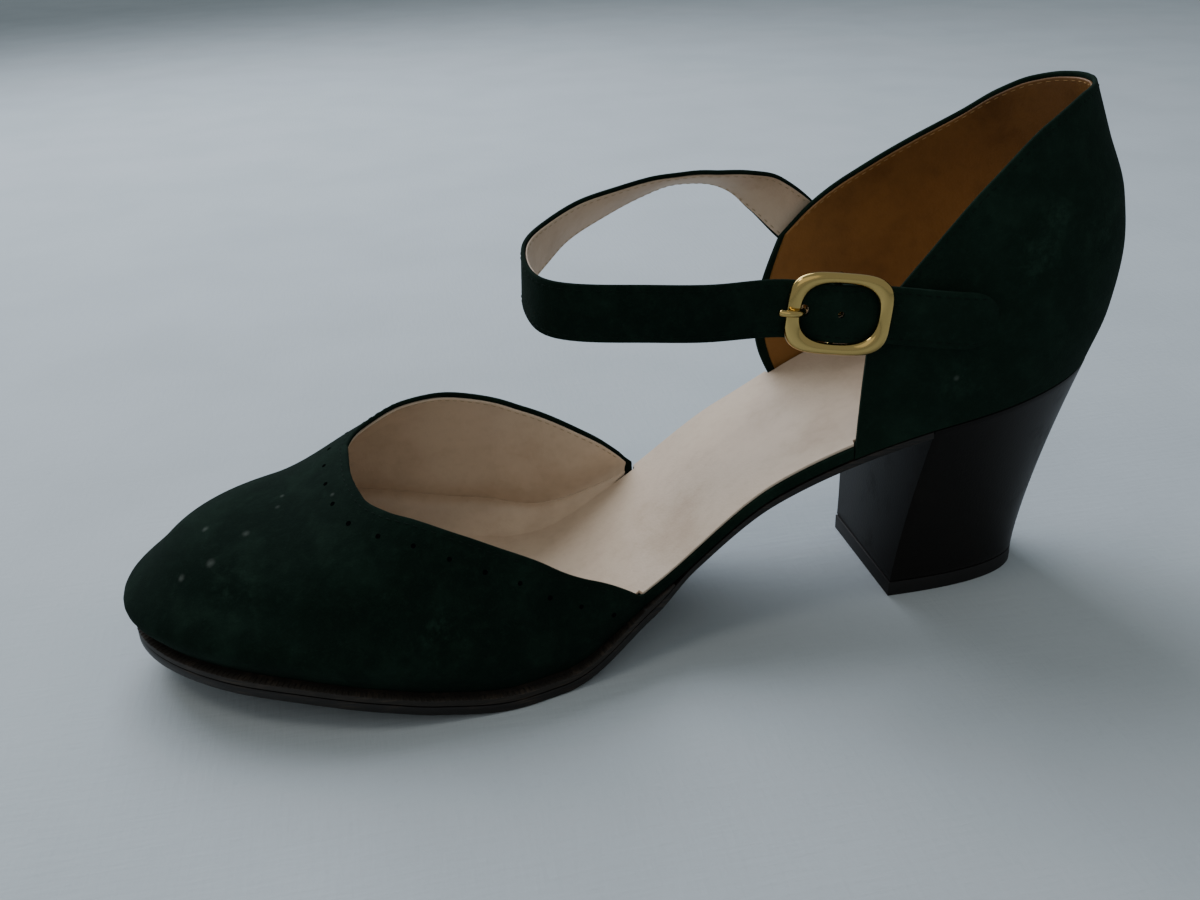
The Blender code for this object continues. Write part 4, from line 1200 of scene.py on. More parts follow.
def normals_of(grid):
    """Unit normals of a grid of points, pointing away from the shoe's middle."""
    along = np.gradient(grid, axis=0)
    across = np.gradient(grid, axis=1)
    normal = np.cross(along, across)
    size = np.linalg.norm(normal, axis=2, keepdims=True)
    normal = normal / np.where(size < 1e-12, 1, size)
    middle = grid.reshape(-1, 3).mean(axis=0)
    if ((grid - middle) * normal).sum() < 0:
        normal = -normal
    return normal


def lofted(name, rings, materials, rounding=0.0, sharp=40):
    """A closed solid through rings of points, with flat ends."""
    rings = np.asarray(rings, float)
    obj = mesh_object(name, rings.reshape(-1, 3), capped_faces(*rings.shape[:2]), materials)
    tidy_mesh(obj, sharp)
    if rounding:
        soften(obj, rounding)
        settle(obj)
        tidy_mesh(obj, sharp)
    return obj


def wire(name, points, radii, material, closed=False, flat=1.0, out=(0, 1, 0)):
    """A round or flattened bar along points: radii run across it, and flat times radii along out."""
    points = np.asarray(points, float)
    radii = np.broadcast_to(np.asarray(radii, float), (len(points),))
    if closed:
        tangent = np.roll(points, -1, axis=0) - np.roll(points, 1, axis=0)
    else:
        tangent = np.gradient(points, axis=0)
    tangent /= np.linalg.norm(tangent, axis=1)[:, None]
    out = np.asarray(out, float)
    up = out - tangent * (tangent @ out)[:, None]
    up /= np.linalg.norm(up, axis=1)[:, None]
    side = np.cross(tangent, up)
    turn = np.linspace(0, 2 * np.pi, WIRE_FINE, endpoint=False)
    ring = side[:, None] * np.cos(turn)[None, :, None] + flat * up[:, None] * np.sin(turn)[None, :, None]
    rings = points[:, None] + ring * radii[:, None, None]
    if not closed:
        return lofted(name, rings, [material], sharp=60)
    rings = np.concatenate([rings, rings[:1]])
    faces = grid_faces(len(rings), WIRE_FINE, closed=True)
    obj = mesh_object(name, rings.reshape(-1, 3), faces, [material])
    tidy_mesh(obj, 60)
    return obj


# Grids of the upper


def ribbed(rib, count, steps):
    """A grid from one side's end round to the other's, one rib of points for each row."""
    shares = np.linspace(0, 1, count + 1)
    lateral = [rib(LATERAL, share, steps) for share in shares[::-1]]
    medial = [rib(MEDIAL, share, steps) for share in shares[1:]]
    return np.array(lateral + medial)


def vamp_grid():
    """Points of the vamp's outer face."""
    return ribbed(vamp_rib, *VAMP_FINE)


def quarter_grid():
    """Points of the quarter's outer face."""
    return ribbed(quarter_rib, *QUARTER_FINE)


def below_edge(grid, distance):
    """Points a distance down from the top edge of a grid, and their normals."""
    normal = normals_of(grid)
    points, facing = [], []
    for row, facings in zip(grid, normal):
        steps = np.linalg.norm(np.diff(row[::-1], axis=0), axis=1)
        marks = np.concatenate([[0], np.cumsum(steps)])
        if marks[-1] < SHORTEST_RIB * distance:
            continue
        point = [np.interp(distance, marks, row[::-1, k]) for k in range(3)]
        face = np.array([np.interp(distance, marks, facings[::-1, k]) for k in range(3)])
        face /= np.linalg.norm(face)
        points.append(point)
        facing.append(face)
    return np.array(points), np.array(facing)


def lowered(grid, drop):
    """The same grid with its top row a little lower along each rib."""
    lower = grid.copy()
    for row in lower:
        steps = np.linalg.norm(np.diff(row, axis=0), axis=1)
        marks = np.concatenate([[0], np.cumsum(steps)])
        keep = max(marks[-1] - drop, marks[-1] * 0.5)
        wanted = marks * keep / marks[-1]
        row[:] = np.column_stack([np.interp(wanted, marks, row[:, k]) for k in range(3)])
    return lower


def lining_grid(grid, inset, drop):
    """A grid on the inner face of a wall, that stops short of its top edge and ends."""
    return lowered((grid - normals_of(grid) * inset)[1:-1], drop)


# Repeats along a line, made by Geometry Nodes


def item_mesh(name, points, faces, material):
    """A small shape to be repeated, kept out of the picture."""
    obj = mesh_object(name, points, faces, [material])
    tidy_mesh(obj, 60)
    obj.hide_render = True
    return obj


def stitch_item(name, material):
    """One stitch: a short thread, thicker in its middle, dipping at both ends."""
    sizes = bpy.context.scene.shoe_sizes
    turn = np.linspace(0, 2 * np.pi, THREAD_SIDES, endpoint=False)
    rings = []
    for share, thick in STITCH_SECTIONS:
        x = np.full(THREAD_SIDES, share * sizes.stitch_length)
        radius = sizes.thread * thick
        dip = (1 - thick) * sizes.thread
        rings.append(np.column_stack([x, radius * np.cos(turn), radius * np.sin(turn) - dip]))
    points = np.array(rings).reshape(-1, 3)
    return item_mesh(name, points, capped_faces(len(rings), THREAD_SIDES), material)


def hole_item(name, material):
    """One punched hole: a floor of painted shade inside a low rim, closed underneath, inside the suede.
    """
    radius = bpy.context.scene.shoe_sizes.hole_radius
    turn = np.linspace(0, 2 * np.pi, HOLE_SIDES, endpoint=False)
    rings = []
    for reach, height in HOLE_SECTION:
        x, y = reach * radius * np.cos(turn), reach * radius * np.sin(turn)
        rings.append(np.column_stack([x, y, np.full(HOLE_SIDES, height * MM)]))
    faces = grid_faces(len(HOLE_SECTION), HOLE_SIDES, closed=True)
    return item_mesh(name, np.array(rings).reshape(-1, 3), faces, material)


def mark_item(name, material):
    """One mark of the welt's wheel: a low ridge across the strip, closed inside it."""
    points = []
    for reach, rise in MARK_REACHES:
        points += [(x * MM, reach * MM, (z * rise if z > 0 else z) * MM) for x, z in MARK_SECTION]
    faces = capped_faces(len(MARK_REACHES), len(MARK_SECTION))
    return item_mesh(name, points, faces, material)


def repeat_tree():
    """A node tree that lays an item along a line of points, by its tangent and its facing."""
    tree = bpy.data.node_groups.new("Repeat along a line", "GeometryNodeTree")
    face = tree.interface
    face.new_socket("Line", in_out="INPUT", socket_type="NodeSocketGeometry")
    spacing = face.new_socket("Spacing", in_out="INPUT", socket_type="NodeSocketFloat")
    spacing.subtype = "DISTANCE"
    face.new_socket("Item", in_out="INPUT", socket_type="NodeSocketObject")
    face.new_socket("Finish", in_out="INPUT", socket_type="NodeSocketMaterial")
    face.new_socket("Seed", in_out="INPUT", socket_type="NodeSocketInt")
    face.new_socket("Row", in_out="OUTPUT", socket_type="NodeSocketGeometry")
    given = tree.nodes.new("NodeGroupInput").outputs
    line = add_node(tree, "GeometryNodeMeshToCurve", links={"Mesh": given["Line"]})
    stretch = {"Curve": line.outputs[0], "Length": given["Spacing"]}
    even = add_node(tree, "GeometryNodeResampleCurve", {"mode": "LENGTH"}, stretch)
    held = {"data_type": "FLOAT_VECTOR", "Name": "facing"}
    facing = add_node(tree, "GeometryNodeInputNamedAttribute", held).outputs["Attribute"]
    up = add_node(tree, "FunctionNodeAlignRotationToVector", {"axis": "Z"}, {"Vector": facing})
    tangent = add_node(tree, "GeometryNodeInputTangent")
    turned = add_node(
        tree,
        "FunctionNodeAlignRotationToVector",
        {"axis": "X", "pivot_axis": "Z"},
        {"Rotation": up.outputs[0], "Vector": tangent.outputs[0]},
    )
    item = add_node(tree, "GeometryNodeObjectInfo", links={"Object": given["Item"]})
    spread = {"data_type": "FLOAT", 2: LEAST_SCALE, 3: MOST_SCALE}
    uneven = add_node(tree, "FunctionNodeRandomValue", spread, {"Seed": given["Seed"]})
    rows = add_node(
        tree,
        "GeometryNodeInstanceOnPoints",
        links={
            "Points": even.outputs[0],
            "Instance": item.outputs["Geometry"],
            "Rotation": turned.outputs[0],
            "Scale": uneven.outputs[1],
        },
    )
    real = add_node(tree, "GeometryNodeRealizeInstances", links={"Geometry": rows.outputs[0]})
    finishing = {"Geometry": real.outputs[0], "Material": given["Finish"]}
    dressed = add_node(tree, "GeometryNodeSetMaterial", links=finishing)
    add_node(tree, "NodeGroupOutput", links={"Row": dressed.outputs[0]})
    return tree


def repeat_along(name, lines, spacing, item, material):
    """A plain mesh of one item laid evenly along lines of points with their facings."""
    tree = bpy.data.node_groups.get("Repeat along a line") or repeat_tree()
    points, edges, facings = [], [], []
    for line, facing in lines:
        start = len(points)
        points += [tuple(point) for point in line]
        facings += [tuple(face) for face in facing]
        edges += [(start + i, start + i + 1) for i in range(len(line) - 1)]
    mesh = bpy.data.meshes.new(name)
    mesh.from_pydata(points, edges, [])
    held = mesh.attributes.new("facing", "FLOAT_VECTOR", "POINT")
    held.data.foreach_set("vector", np.array(facings, np.float32).ravel())
    obj = bpy.data.objects.new(name, mesh)
    bpy.context.scene.collection.objects.link(obj)
    modifier = obj.modifiers.new("Repeat", "NODES")
    modifier.node_group = tree
    seed = bpy.context.scene.shoe_sizes.seed
    values = {"Spacing": spacing, "Item": item, "Finish": finish(material), "Seed": seed}
    for socket in tree.interface.items_tree:
        if socket.in_out == "INPUT" and socket.name in values:
            modifier[socket.identifier] = values[socket.name]
    settle(obj)
    obj.data.shade_smooth()
    return obj


# Pieces of the shoe


def wall_object(name, grid, thickness, material):
    """A wall of even thickness inside a grid of points, with its top edge rounded over."""
    half = thickness / 2
    grid = lowered(grid, half)
    normal = normals_of(grid)
    inner = grid - normal * thickness
    rise = grid[:, -1] - grid[:, -2]
    rise /= np.linalg.norm(rise, axis=1)[:, None]
    middle = (grid[:, -1] + inner[:, -1]) / 2
    over = []
    for degrees in (30, 60, 90, 120, 150):
        turn = math.radians(degrees)
        over.append(middle + half * (normal[:, -1] * math.cos(turn) + rise * math.sin(turn)))
    rings = np.concatenate([grid, np.stack(over, axis=1), inner[:, ::-1]], axis=1)
    return lofted(name, rings, [material])


def soft_ring(along, reach, top, bottom, inset, rounding):
    """Rings round a layer of the sole, with rounded sides, from the heel's end to the toe."""
    corners = ((1.0, 0.0), (0.3, 0.3), (0.0, 1.0))
    sides = {}
    for side in (LATERAL, MEDIAL):
        outset = reach(along, side) - inset
        column_points = []
        for back, down in corners:
            level = edge_points(along, side, outset - back * rounding, top)
            level[:, 2] -= down * rounding
            column_points.append(level)
        for back, up in corners[::-1]:
            level = edge_points(along, side, outset - back * rounding, bottom)
            level[:, 2] += up * rounding
            column_points.append(level)
        sides[side] = np.stack(column_points, axis=1)
    return np.concatenate([sides[LATERAL][:, ::-1], sides[MEDIAL]], axis=1)


def fine_stations(start, count):
    """Shares of the last's length from start to the toe, closer together at both ends."""
    spread = 0.5 - 0.5 * np.cos(np.linspace(0, np.pi, count + 1))
    return start + (1 - start) * spread


def upper_reach(along, side):
    """The insole's edge: beside the upper it steps in, and at the open waist it is flush."""
    quarter_end, vamp_start = upper_ends(side)
    step = WAIST_STEP / LAST_LENGTH
    back = np.clip((quarter_end + QUARTER_CLEAR[side] / LAST_LENGTH + step - along) / step, 0, 1)
    front = np.clip((along - vamp_start + VAMP_CLEAR / LAST_LENGTH + step) / step, 0, 1)
    return -(UPPER_WALL + GAP) * np.maximum(back, front)


def waist_stations():
    """Even stations along the insole, with more where its edge steps in beside the upper."""
    shares = [fine_stations(0.0, SOLE_STATIONS)]
    steps = np.linspace(0, WAIST_STEP, 3) / LAST_LENGTH
    for side in (LATERAL, MEDIAL):
        quarter_end, vamp_start = upper_ends(side)
        shares.append(quarter_end + QUARTER_CLEAR[side] / LAST_LENGTH + steps)
        shares.append(vamp_start - VAMP_CLEAR / LAST_LENGTH - steps)
    return np.unique(np.concatenate(shares))


def sock_side(grid, wall):
    """Rings of the sock's side, which climbs the lining inside the vamp in a soft hollow."""
    normal = normals_of(grid)
    climbs = column(SOCK_CLIMB, 1)(np.abs(np.linspace(-1, 1, len(grid)))) * MM
    turns = np.radians(np.linspace(0, 90, SOCK_SIDE_FINE))
    rings = []
    for row, facing, climb in zip(grid, normal, climbs):
        heights = row[:, 2] - bottom_at(share_at(row[:, 0]))
        heights = np.maximum.accumulate(heights)
        climb = min(climb, heights[-1] - INSOLE_THICKNESS - LINING_LEFT)
        rise = INSOLE_THICKNESS - SOCK_OVERLAP + max(climb, LEAST_CLIMB) * (1 - np.cos(turns))
        hollow = min(SOCK_HOLLOW, 2 * max(climb, 0)) * (1 - np.sin(turns))
        level = np.column_stack([np.interp(rise, heights, row[:, k]) for k in (0, 1)])
        inward = np.column_stack([np.interp(rise, heights, facing[:, k]) for k in (0, 1)])
        inward /= np.linalg.norm(inward, axis=1)[:, None]
        sides = []
        for depth in SOCK_SIDE_DEPTHS:
            plan = level - inward * (wall + depth + hollow)[:, None]
            sides.append(np.column_stack([plan, bottom_at(share_at(plan[:, 0])) + rise]))
        rings.append(np.concatenate([sides[0], sides[1][::-1]]))
    return np.array(rings)


def strap_layer(name, low, high, narrow, material):
    """One layer of the strap, between two depths of its thickness, narrower by some at each edge."""
    middle, face, width, left = strap_frames(STRAP_FINE)
    rings = []
    slim = (high - low) / 2
    turns = np.linspace(0, 2 * np.pi, STRAP_SIDES, endpoint=False)
    for centre, thin, wide, rest in zip(middle, face, width, left):
        taper = math.sqrt(max(0.0, 1 - max(0.0, 1 - rest / TIP_LENGTH) ** 2))
        half = STRAP_WIDTH / 2 * (TIP_BLUNTNESS + (1 - TIP_BLUNTNESS) * taper) - narrow
        sideways = half - slim + slim * np.abs(np.cos(turns))
        sideways = np.where(np.abs(np.cos(turns)) < 1e-6, 0, np.sign(np.cos(turns)) * sideways)
        outward = slim * np.sin(turns)
        core = centre + thin * (low + high) / 2
        rings.append(core + thin * outward[:, None] + wide * sideways[:, None])
    obj = lofted(name, rings, [material])
    ends = (STRAP_OUT - 2 * STRAP_THICKNESS, STRAP_CREST + 2 * STRAP_THICKNESS)
    for number in range(HOLE_COUNT):
        forward = BUCKLE_FORWARD + HOLE_LEAD - number * HOLE_SPACING
        points = [place(forward, outward, 0) for outward in ends]
        radius = HOLE_RADIUS if number == 0 else SPARE_HOLE
        punch = wire(f"{name}_punch_{number}", points, radius, material, out=(0, 0, 1))
        cut = obj.modifiers.new("Hole", "BOOLEAN")
        cut.operation = "DIFFERENCE"
        cut.object = punch
        settle(obj)
        bpy.data.objects.remove(punch)
    tidy_mesh(obj, cut=True)
    return obj


def strap_lines(depth, facing):
    """Lines along both edges of the strap, at a depth of its thickness, with their facings."""
    middle, face, width, left = strap_frames(STRAP_FINE)
    inset = bpy.context.scene.shoe_sizes.stitch_inset
    keep = left > TIP_LENGTH * BARE_TIP
    lines = []
    for side in (-1, 1):
        offset = side * (STRAP_WIDTH / 2 - inset)
        line = middle + face * depth + width * offset
        lines.append((line[keep], (face * facing)[keep]))
    return lines


def buckle_outline(degrees, half_length, half_width, corner_power, centre):
    """A point of a rounded rectangle in the buckle's plane, at an angle round it."""
    turn = math.radians(degrees)
    power = 2 / corner_power
    forward = half_length * math.copysign(abs(math.cos(turn)) ** power, math.cos(turn))
    sideways = half_width * math.copysign(abs(math.sin(turn)) ** power, math.sin(turn))
    return forward + centre[0], sideways + centre[1]


def prong_route():
    """The prong's middle line, from its loop on the bar up through the strap to the frame."""
    ring = PIN_RADIUS + GAP + PRONG_RADIUS
    over = FRAME_OUT + BAR_RADIUS + GAP + PRONG_RADIUS
    route = []
    for degrees in np.linspace(*PRONG_RING, PRONG_LOOP_FINE):
        turn = math.radians(degrees)
        route.append((ring * math.cos(turn), BAR_OUT + ring * math.sin(turn)))
    for forward, outward in PRONG_RISE:
        route.append((HOLE_LEAD * forward, BAR_OUT + (over - BAR_OUT) * outward))
    route += [(FRAME_HALF, over), (FRAME_HALF + PRONG_OVERHANG, over - PRONG_DROOP)]
    return [place(BUCKLE_FORWARD + forward, outward, 0) for forward, outward in route]


def copy_of_node(name, node, material):
    """A copy of a solid's mesh with its own finish."""
    obj = bpy.data.objects.new(name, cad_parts[node].data.copy())
    bpy.context.scene.collection.objects.link(obj)
    obj.data.materials.clear()
    obj.data.materials.append(finish(material))
    tidy_mesh(obj)
    return obj


# Operators


class ShoeVamp(bpy.types.Operator):
    """Makes the vamp's suede and its lining"""

    bl_idname = "shoe.vamp"
    bl_label = "Vamp"

    def execute(self, context):
        sizes = context.scene.shoe_sizes
        grid = vamp_grid()
        finished(wall_object("vamp_suede", grid, sizes.suede, "suede"), SUEDE_SLOT, "vamp")
        lining = lining_grid(grid, sizes.suede + GLUE, sizes.lining_drop)
        finished(wall_object("vamp_lining", lining, sizes.lining, "pink"), SOCK_SLOT)
        return {"FINISHED"}


class ShoeQuarter(bpy.types.Operator):
    """Makes the quarter's suede and its tan lining"""

    bl_idname = "shoe.quarter"
    bl_label = "Quarter"

    def execute(self, context):
        sizes = context.scene.shoe_sizes
        grid = quarter_grid()
        finished(wall_object("quarter_suede", grid, sizes.suede, "suede"), SUEDE_SLOT, "quarter")
        lining = lining_grid(grid, sizes.suede + GLUE, sizes.lining_drop)
        finished(wall_object("quarter_lining", lining, sizes.lining, "tan"), SOCK_SLOT)
        return {"FINISHED"}


class ShoeInsole(bpy.types.Operator):
    """Makes the suede covered insole and the sock that lies on it"""

    bl_idname = "shoe.insole"
    bl_label = "Insole and sock"

    def execute(self, context):
        sizes = context.scene.shoe_sizes
        along = waist_stations()
        board_top = INSOLE_THICKNESS - sizes.sock

        def board_level(share):
            return bottom_at(share) + board_top

        def sock_bottom(share):
            return bottom_at(share) + board_top + GLUE

        def sock_top(share):
            return bottom_at(share) + INSOLE_THICKNESS

        def sock_reach(share, side):
            return np.minimum(upper_reach(share, side), -SOCK_MARGIN)

        rings = soft_ring(along, upper_reach, board_level, bottom_at, 0.0, INSOLE_ROUNDING)
        finished(lofted("insole_board", rings, ["suede"]), SUEDE_SLOT, "insole")
        rings = soft_ring(along, sock_reach, sock_top, sock_bottom, SOCK_INSET, SOCK_ROUNDING)
        finished(lofted("sock", rings, ["pink"]), SOCK_SLOT)
        rings = sock_side(vamp_grid()[1:-1], sizes.suede + sizes.lining)
        finished(lofted("sock_side", rings, ["pink"]), SOCK_SLOT)
        return {"FINISHED"}


class ShoeSole(bpy.types.Operator):
    """Makes the outsole and the welt with its wheel marks"""

    bl_idname = "shoe.sole"
    bl_label = "Sole and welt"

    def execute(self, context):
        start = breast_share() + GAP / LAST_LENGTH
        along = fine_stations(start, SOLE_STATIONS)

        def reach(share, side):
            return sole_reach(share)

        rings = soft_ring(along, reach, sole_top, sole_bottom, 0.0, OUTSOLE_ROUNDING)
        finished(lofted("outsole_leather", rings, ["sole"]), SOLE_SLOT, "outsole")
        self.make_welt()
        return {"FINISHED"}

    def make_welt(self):
        """The welt's strip, and the marks that a wheel pressed across it."""

        def welt_corner(share):
            return welt_top(share) - WELT_CORNER_DOWN

        along = fine_stations(WELT_START + WELT_FADE / 2, SOLE_STATIONS)
        rings = []
        for side in (LATERAL, MEDIAL):
            corners = [
                edge_points(along, side, sole_reach(along) - WELT_CORNER_IN, welt_top),
                edge_points(along, side, sole_reach(along), welt_corner),
                edge_points(along, side, sole_reach(along), welt_bottom),
                edge_points(along, side, -WELT_TUCK, welt_bottom),
                edge_points(along, side, -WELT_TUCK, welt_top),
            ]
            part = np.stack(corners, axis=1)
            rings.append(part if side == LATERAL else part[::-1][1:])
        obj = lofted("welt_strip", np.concatenate(rings), ["welt"])
        finished(obj, WELT_SLOT, "welt")
        lines = []
        along = fine_stations(MARK_START, MARK_STATIONS)
        for side in (LATERAL, MEDIAL):
            line = edge_points(along, side, sole_reach(along) - MARK_INSET, welt_top)
            facing = np.tile([0.0, 0.0, 1.0], (len(line), 1))
            lines.append((line, facing))
        item = mark_item("wheel_mark_shape", "welt")
        sizes = bpy.context.scene.shoe_sizes
        marks = repeat_along("welt_wheel_marks", lines, sizes.wheel_spacing, item, "welt")
        bpy.data.objects.remove(item)
        finished(marks, WELT_SLOT)


class ShoeHeel(bpy.types.Operator):
    """Makes the covered heel and its rubber top piece"""

    bl_idname = "shoe.heel"
    bl_label = "Heel"

    def execute(self, context):
        low = heel_base(TOP_PIECE_THICKNESS + GAP, HEEL_FINE)
        high = heel_top(HEEL_FINE)
        rings = []
        for level in np.linspace(0, 1, HEEL_ROWS + 1):
            flare = level**HEEL_FLARE
            ring = low + (high - low) * np.array([flare, flare, level])
            ends = [0, len(ring) - 1]
            ring[ends, 0] = breast_x(ring[ends, 2])
            rings.append(ring)
        finished(lofted("heel_cover", rings, ["cover"], HEEL_ROUNDING), HEEL_SLOT, "heel_block")
        levels = (0.0, TOP_PIECE_THICKNESS)
        rings = [heel_base(level, HEEL_FINE) for level in levels]
        rubber = lofted("heel_top_rubber", rings, ["rubber"], RUBBER_ROUNDING)
        finished(rubber, RUBBER_SLOT, "heel_top_piece")
        return {"FINISHED"}


class ShoeStrap(bpy.types.Operator):
    """Makes the ankle strap, its lining and the buckle's tab"""

    bl_idname = "shoe.strap"
    bl_label = "Ankle strap"

    def execute(self, context):
        outer, inner = -STRAP_THICKNESS / 2, STRAP_THICKNESS / 2
        suede = strap_layer("strap_suede", outer, STRAP_SPLIT, 0.0, "suede")
        finished(suede, SUEDE_SLOT, "ankle_strap")
        lining = strap_layer("strap_lining", STRAP_SPLIT + GLUE, inner, LINING_NARROW, "pink")
        finished(lining, SOCK_SLOT)
        finished(copy_of_node("tab_suede", "buckle_tab", "suede"), SUEDE_SLOT, "buckle_tab")
        return {"FINISHED"}


class ShoeBuckle(bpy.types.Operator):
    """Makes the gilt buckle, with its wider ends, its middle bar and its prong"""

    bl_idname = "shoe.buckle"
    bl_label = "Buckle"

    def execute(self, context):
        length, width = FRAME_HALF + BAR_RADIUS, FRAME_SIDE + BAR_RADIUS
        window = (length - BUCKLE_ENDS, width - BUCKLE_SIDES)
        turns = np.linspace(0, 2 * np.pi, WIRE_FINE, endpoint=False)
        rings = []
        for degrees in np.linspace(0, 360, BUCKLE_FINE + 1):
            outer = buckle_outline(degrees, length, width, OUTER_POWER, (0, 0))
            inner = buckle_outline(degrees, *window, WINDOW_POWER, WINDOW_SHIFT)
            ring = []
            for turn in turns:
                high = math.sin(turn)
                share = (math.cos(turn) + 1) / 2
                forward = inner[0] + (outer[0] - inner[0]) * share
                sideways = inner[1] + (outer[1] - inner[1]) * share
                outward = FRAME_OUT + BAR_RADIUS * high * FRAME_FLATNESS
                ring.append(place(BUCKLE_FORWARD + forward, outward, sideways))
            rings.append(ring)
        rings = np.array(rings, float)
        faces = grid_faces(len(rings), WIRE_FINE, closed=True)
        obj = mesh_object("gilt_buckle", rings.reshape(-1, 3), faces, ["gilt"])
        tidy_mesh(obj, 60)
        finished(obj, GILT_SLOT, "buckle")
        bend = BAR_BEND * PIN_RADIUS
        knots = (
            # outward, sideways
            (FRAME_OUT, -FRAME_SIDE),
            (BAR_OUT + bend, -FRAME_SIDE),
            (BAR_OUT, -FRAME_SIDE + bend),
            (BAR_OUT, FRAME_SIDE - bend),
            (BAR_OUT + bend, FRAME_SIDE),
            (FRAME_OUT, FRAME_SIDE),
        )
        points = [place(BUCKLE_FORWARD, outward, sideways) for outward, sideways in knots]
        finished(wire("buckle_middle_bar", points, PIN_RADIUS, "gilt", out=(1, 0, 0)), GILT_SLOT)
        route = np.array(prong_route(), float)
        steps = np.linalg.norm(np.diff(route, axis=0), axis=1)
        marks = np.concatenate([[0], np.cumsum(steps)])
        fine = np.linspace(0, marks[-1], PRONG_FINE)
        smooth = np.column_stack([natural_curve(marks, route[:, k], fine) for k in range(3)])
        left = marks[-1] - fine
        radii = PRONG_RADIUS * np.sqrt(np.clip(left / (PRONG_END * PRONG_RADIUS), PRONG_END_LEAST, 1))
        radii = radii * (1 - THINNING * np.clip(1 - left / THINNING_LENGTH, 0, 1))
        finished(wire("buckle_tongue", smooth, radii, "gilt"), GILT_SLOT, "buckle_prong")
        return {"FINISHED"}


class ShoeStitches(bpy.types.Operator):
    """Lays the stitches along the throat, the quarter's top edge and the strap"""

    bl_idname = "shoe.stitches"
    bl_label = "Stitches"

    def execute(self, context):
        sizes = context.scene.shoe_sizes
        wall = sizes.suede + sizes.lining + 2 * GLUE
        outer = strap_lines(-STRAP_THICKNESS / 2, -1)
        inner = {"beige": strap_lines(STRAP_THICKNESS / 2, 1), "tan": []}
        for grid, lining in ((vamp_grid(), "beige"), (quarter_grid(), "tan")):
            line, facing = below_edge(grid[BARE_RIBS:-BARE_RIBS], sizes.stitch_inset + UPPER_STITCH_INSET)
            outer.append((line, facing))
            inner[lining].append((line - facing * wall, -facing))
        self.sew("green_stitches", outer, "thread_dark", SUEDE_SLOT)
        self.sew("beige_stitches", inner["beige"], "thread_pale", SOCK_SLOT)
        self.sew("tan_stitches", inner["tan"], "thread_tan", SOCK_SLOT)
        return {"FINISHED"}

    def sew(self, name, lines, material, slot):
        """One row of stitches along each line."""
        item = stitch_item(name + "_shape", material)
        spacing = bpy.context.scene.shoe_sizes.stitch_spacing
        row = repeat_along(name, lines, spacing, item, material)
        bpy.data.objects.remove(item)
        finished(row, slot)


class ShoeHoles(bpy.types.Operator):
    """Lays the row of small punched holes along the throat, each with a floor of painted shade"""

    bl_idname = "shoe.holes"
    bl_label = "Punched holes"

    def execute(self, context):
        sizes = context.scene.shoe_sizes
        line = below_edge(vamp_grid(), sizes.hole_inset)
        item = hole_item("punched_hole_shape", "hollow")
        row = repeat_along("punched_holes", [line], sizes.hole_spacing, item, "hollow")
        bpy.data.objects.remove(item)
        finished(row, SUEDE_SLOT)
        return {"FINISHED"}


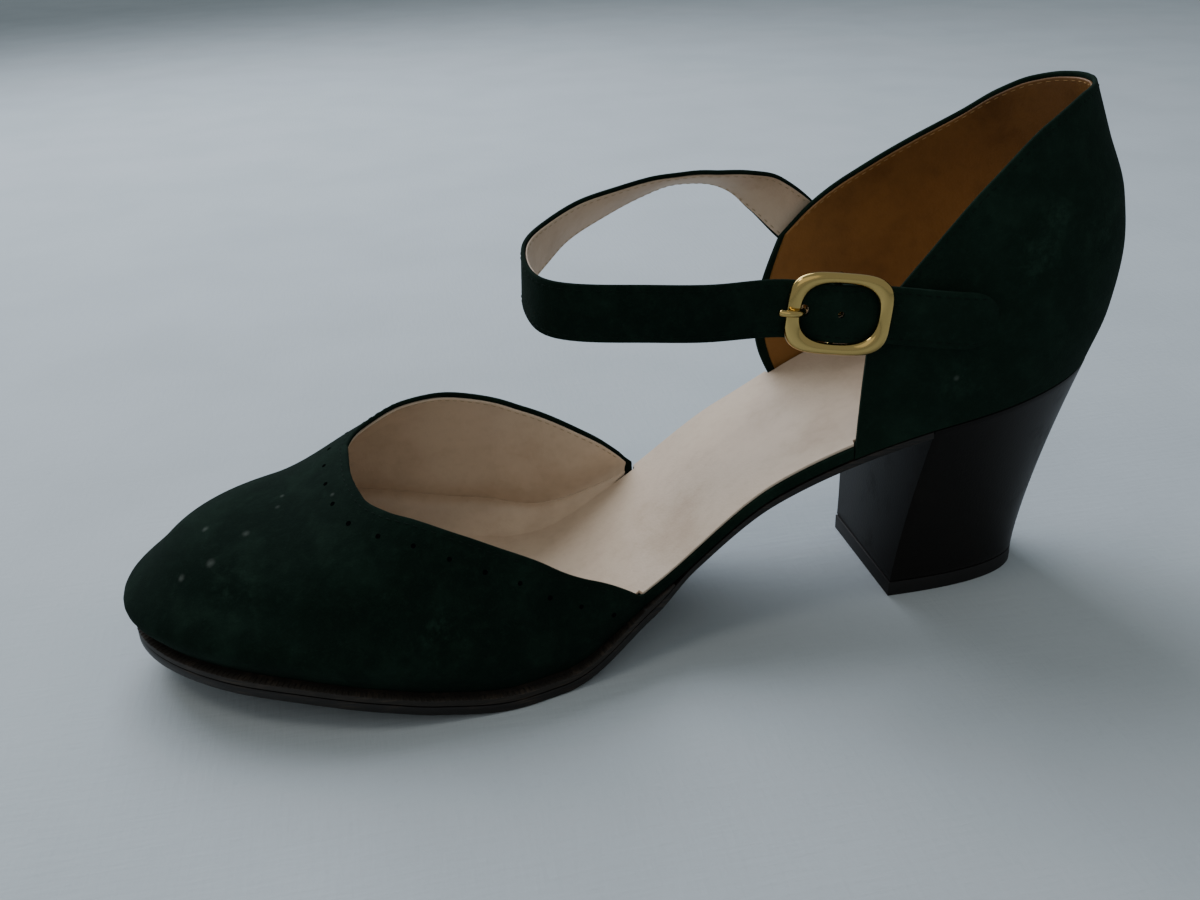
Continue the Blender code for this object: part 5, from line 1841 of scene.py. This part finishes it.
class ShoeStage(bpy.types.Operator):
    """Sets the floor, the soft light from the window side and the photograph's camera"""

    bl_idname = "shoe.stage"
    bl_label = "Stage"

    def execute(self, context):
        scene = context.scene
        bpy.ops.mesh.primitive_plane_add(size=FLOOR_SIZE)
        floor = context.object
        floor.name = "floor"
        floor.data.materials.append(finish("floor"))
        for name, place_at, size, power, colour in LIGHTS:
            light = bpy.data.lights.new(name, "AREA")
            light.energy = power
            light.size = size
            light.color = linear(colour)
            obj = bpy.data.objects.new(name, light)
            obj.location = place_at
            obj.rotation_euler = (CAMERA_AIM - Vector(place_at)).to_track_quat("-Z", "Y").to_euler()
            scene.collection.objects.link(obj)
        world = bpy.data.worlds.new("soft_grey_room")
        world.use_nodes = True
        background = world.node_tree.nodes["Background"]
        background.inputs["Color"].default_value = (*linear(WORLD_COLOUR), 1)
        background.inputs["Strength"].default_value = WORLD_STRENGTH
        scene.world = world
        self.set_camera(scene)
        return {"FINISHED"}

    def set_camera(self, scene):
        """The camera of the photograph, from its turn, height and roll."""
        turn, up_angle, roll = map(math.radians, (CAMERA_TURN, CAMERA_RAISE, CAMERA_ROLL))
        back = Vector(
            (math.sin(turn) * math.cos(up_angle), math.cos(turn) * math.cos(up_angle), math.sin(up_angle))
        )
        level = Vector((0, 0, 1)).cross(back).normalized()
        above = back.cross(level)
        right = level * math.cos(roll) + above * math.sin(roll)
        up = above * math.cos(roll) - level * math.sin(roll)
        camera = bpy.data.cameras.new("camera")
        camera.sensor_width = SENSOR_WIDTH
        camera.lens = FOCAL_PIXELS / FRAME_PIXELS * SENSOR_WIDTH
        camera.clip_start = 0.01
        obj = bpy.data.objects.new("camera", camera)
        axes = Matrix((right, up, back)).transposed().to_4x4()
        obj.matrix_world = Matrix.Translation(CAMERA_AIM + back * CAMERA_DISTANCE) @ axes
        scene.collection.objects.link(obj)
        scene.camera = obj


class ShoePanel(bpy.types.Panel):
    """Lists the pieces of the shoe in the sidebar"""

    bl_idname = "VIEW3D_PT_shoe"
    bl_label = "Ankle Strap Heel"
    bl_space_type = "VIEW_3D"
    bl_region_type = "UI"
    bl_category = "Shoe"

    def draw(self, context):
        column_layout = self.layout.column()
        for operator in PIECES:
            column_layout.operator(operator.bl_idname)
        for group in (context.scene.shoe_sizes, context.scene.shoe_colours):
            for name in group.__annotations__:
                column_layout.prop(group, name)


PIECES = (
    ShoeVamp,
    ShoeQuarter,
    ShoeInsole,
    ShoeSole,
    ShoeHeel,
    ShoeStrap,
    ShoeBuckle,
    ShoeStitches,
    ShoeHoles,
    ShoeStage,
)
CLASSES = (ShoeSizes, ShoeColours, *PIECES, ShoePanel)


def register():
    """Registers the classes, and gives the scene the shoe's sizes and colours."""
    for item in CLASSES:
        bpy.utils.register_class(item)
    bpy.types.Scene.shoe_sizes = PointerProperty(type=ShoeSizes)
    bpy.types.Scene.shoe_colours = PointerProperty(type=ShoeColours)


def unregister():
    """Takes back what register added."""
    del bpy.types.Scene.shoe_colours
    del bpy.types.Scene.shoe_sizes
    for item in reversed(CLASSES):
        bpy.utils.unregister_class(item)


def main():
    """Makes the shoe, piece by piece."""
    register()
    for operator in PIECES:
        group, call = operator.bl_idname.split(".")
        getattr(getattr(bpy.ops, group), call)()


if __name__ == "__main__":
    main()
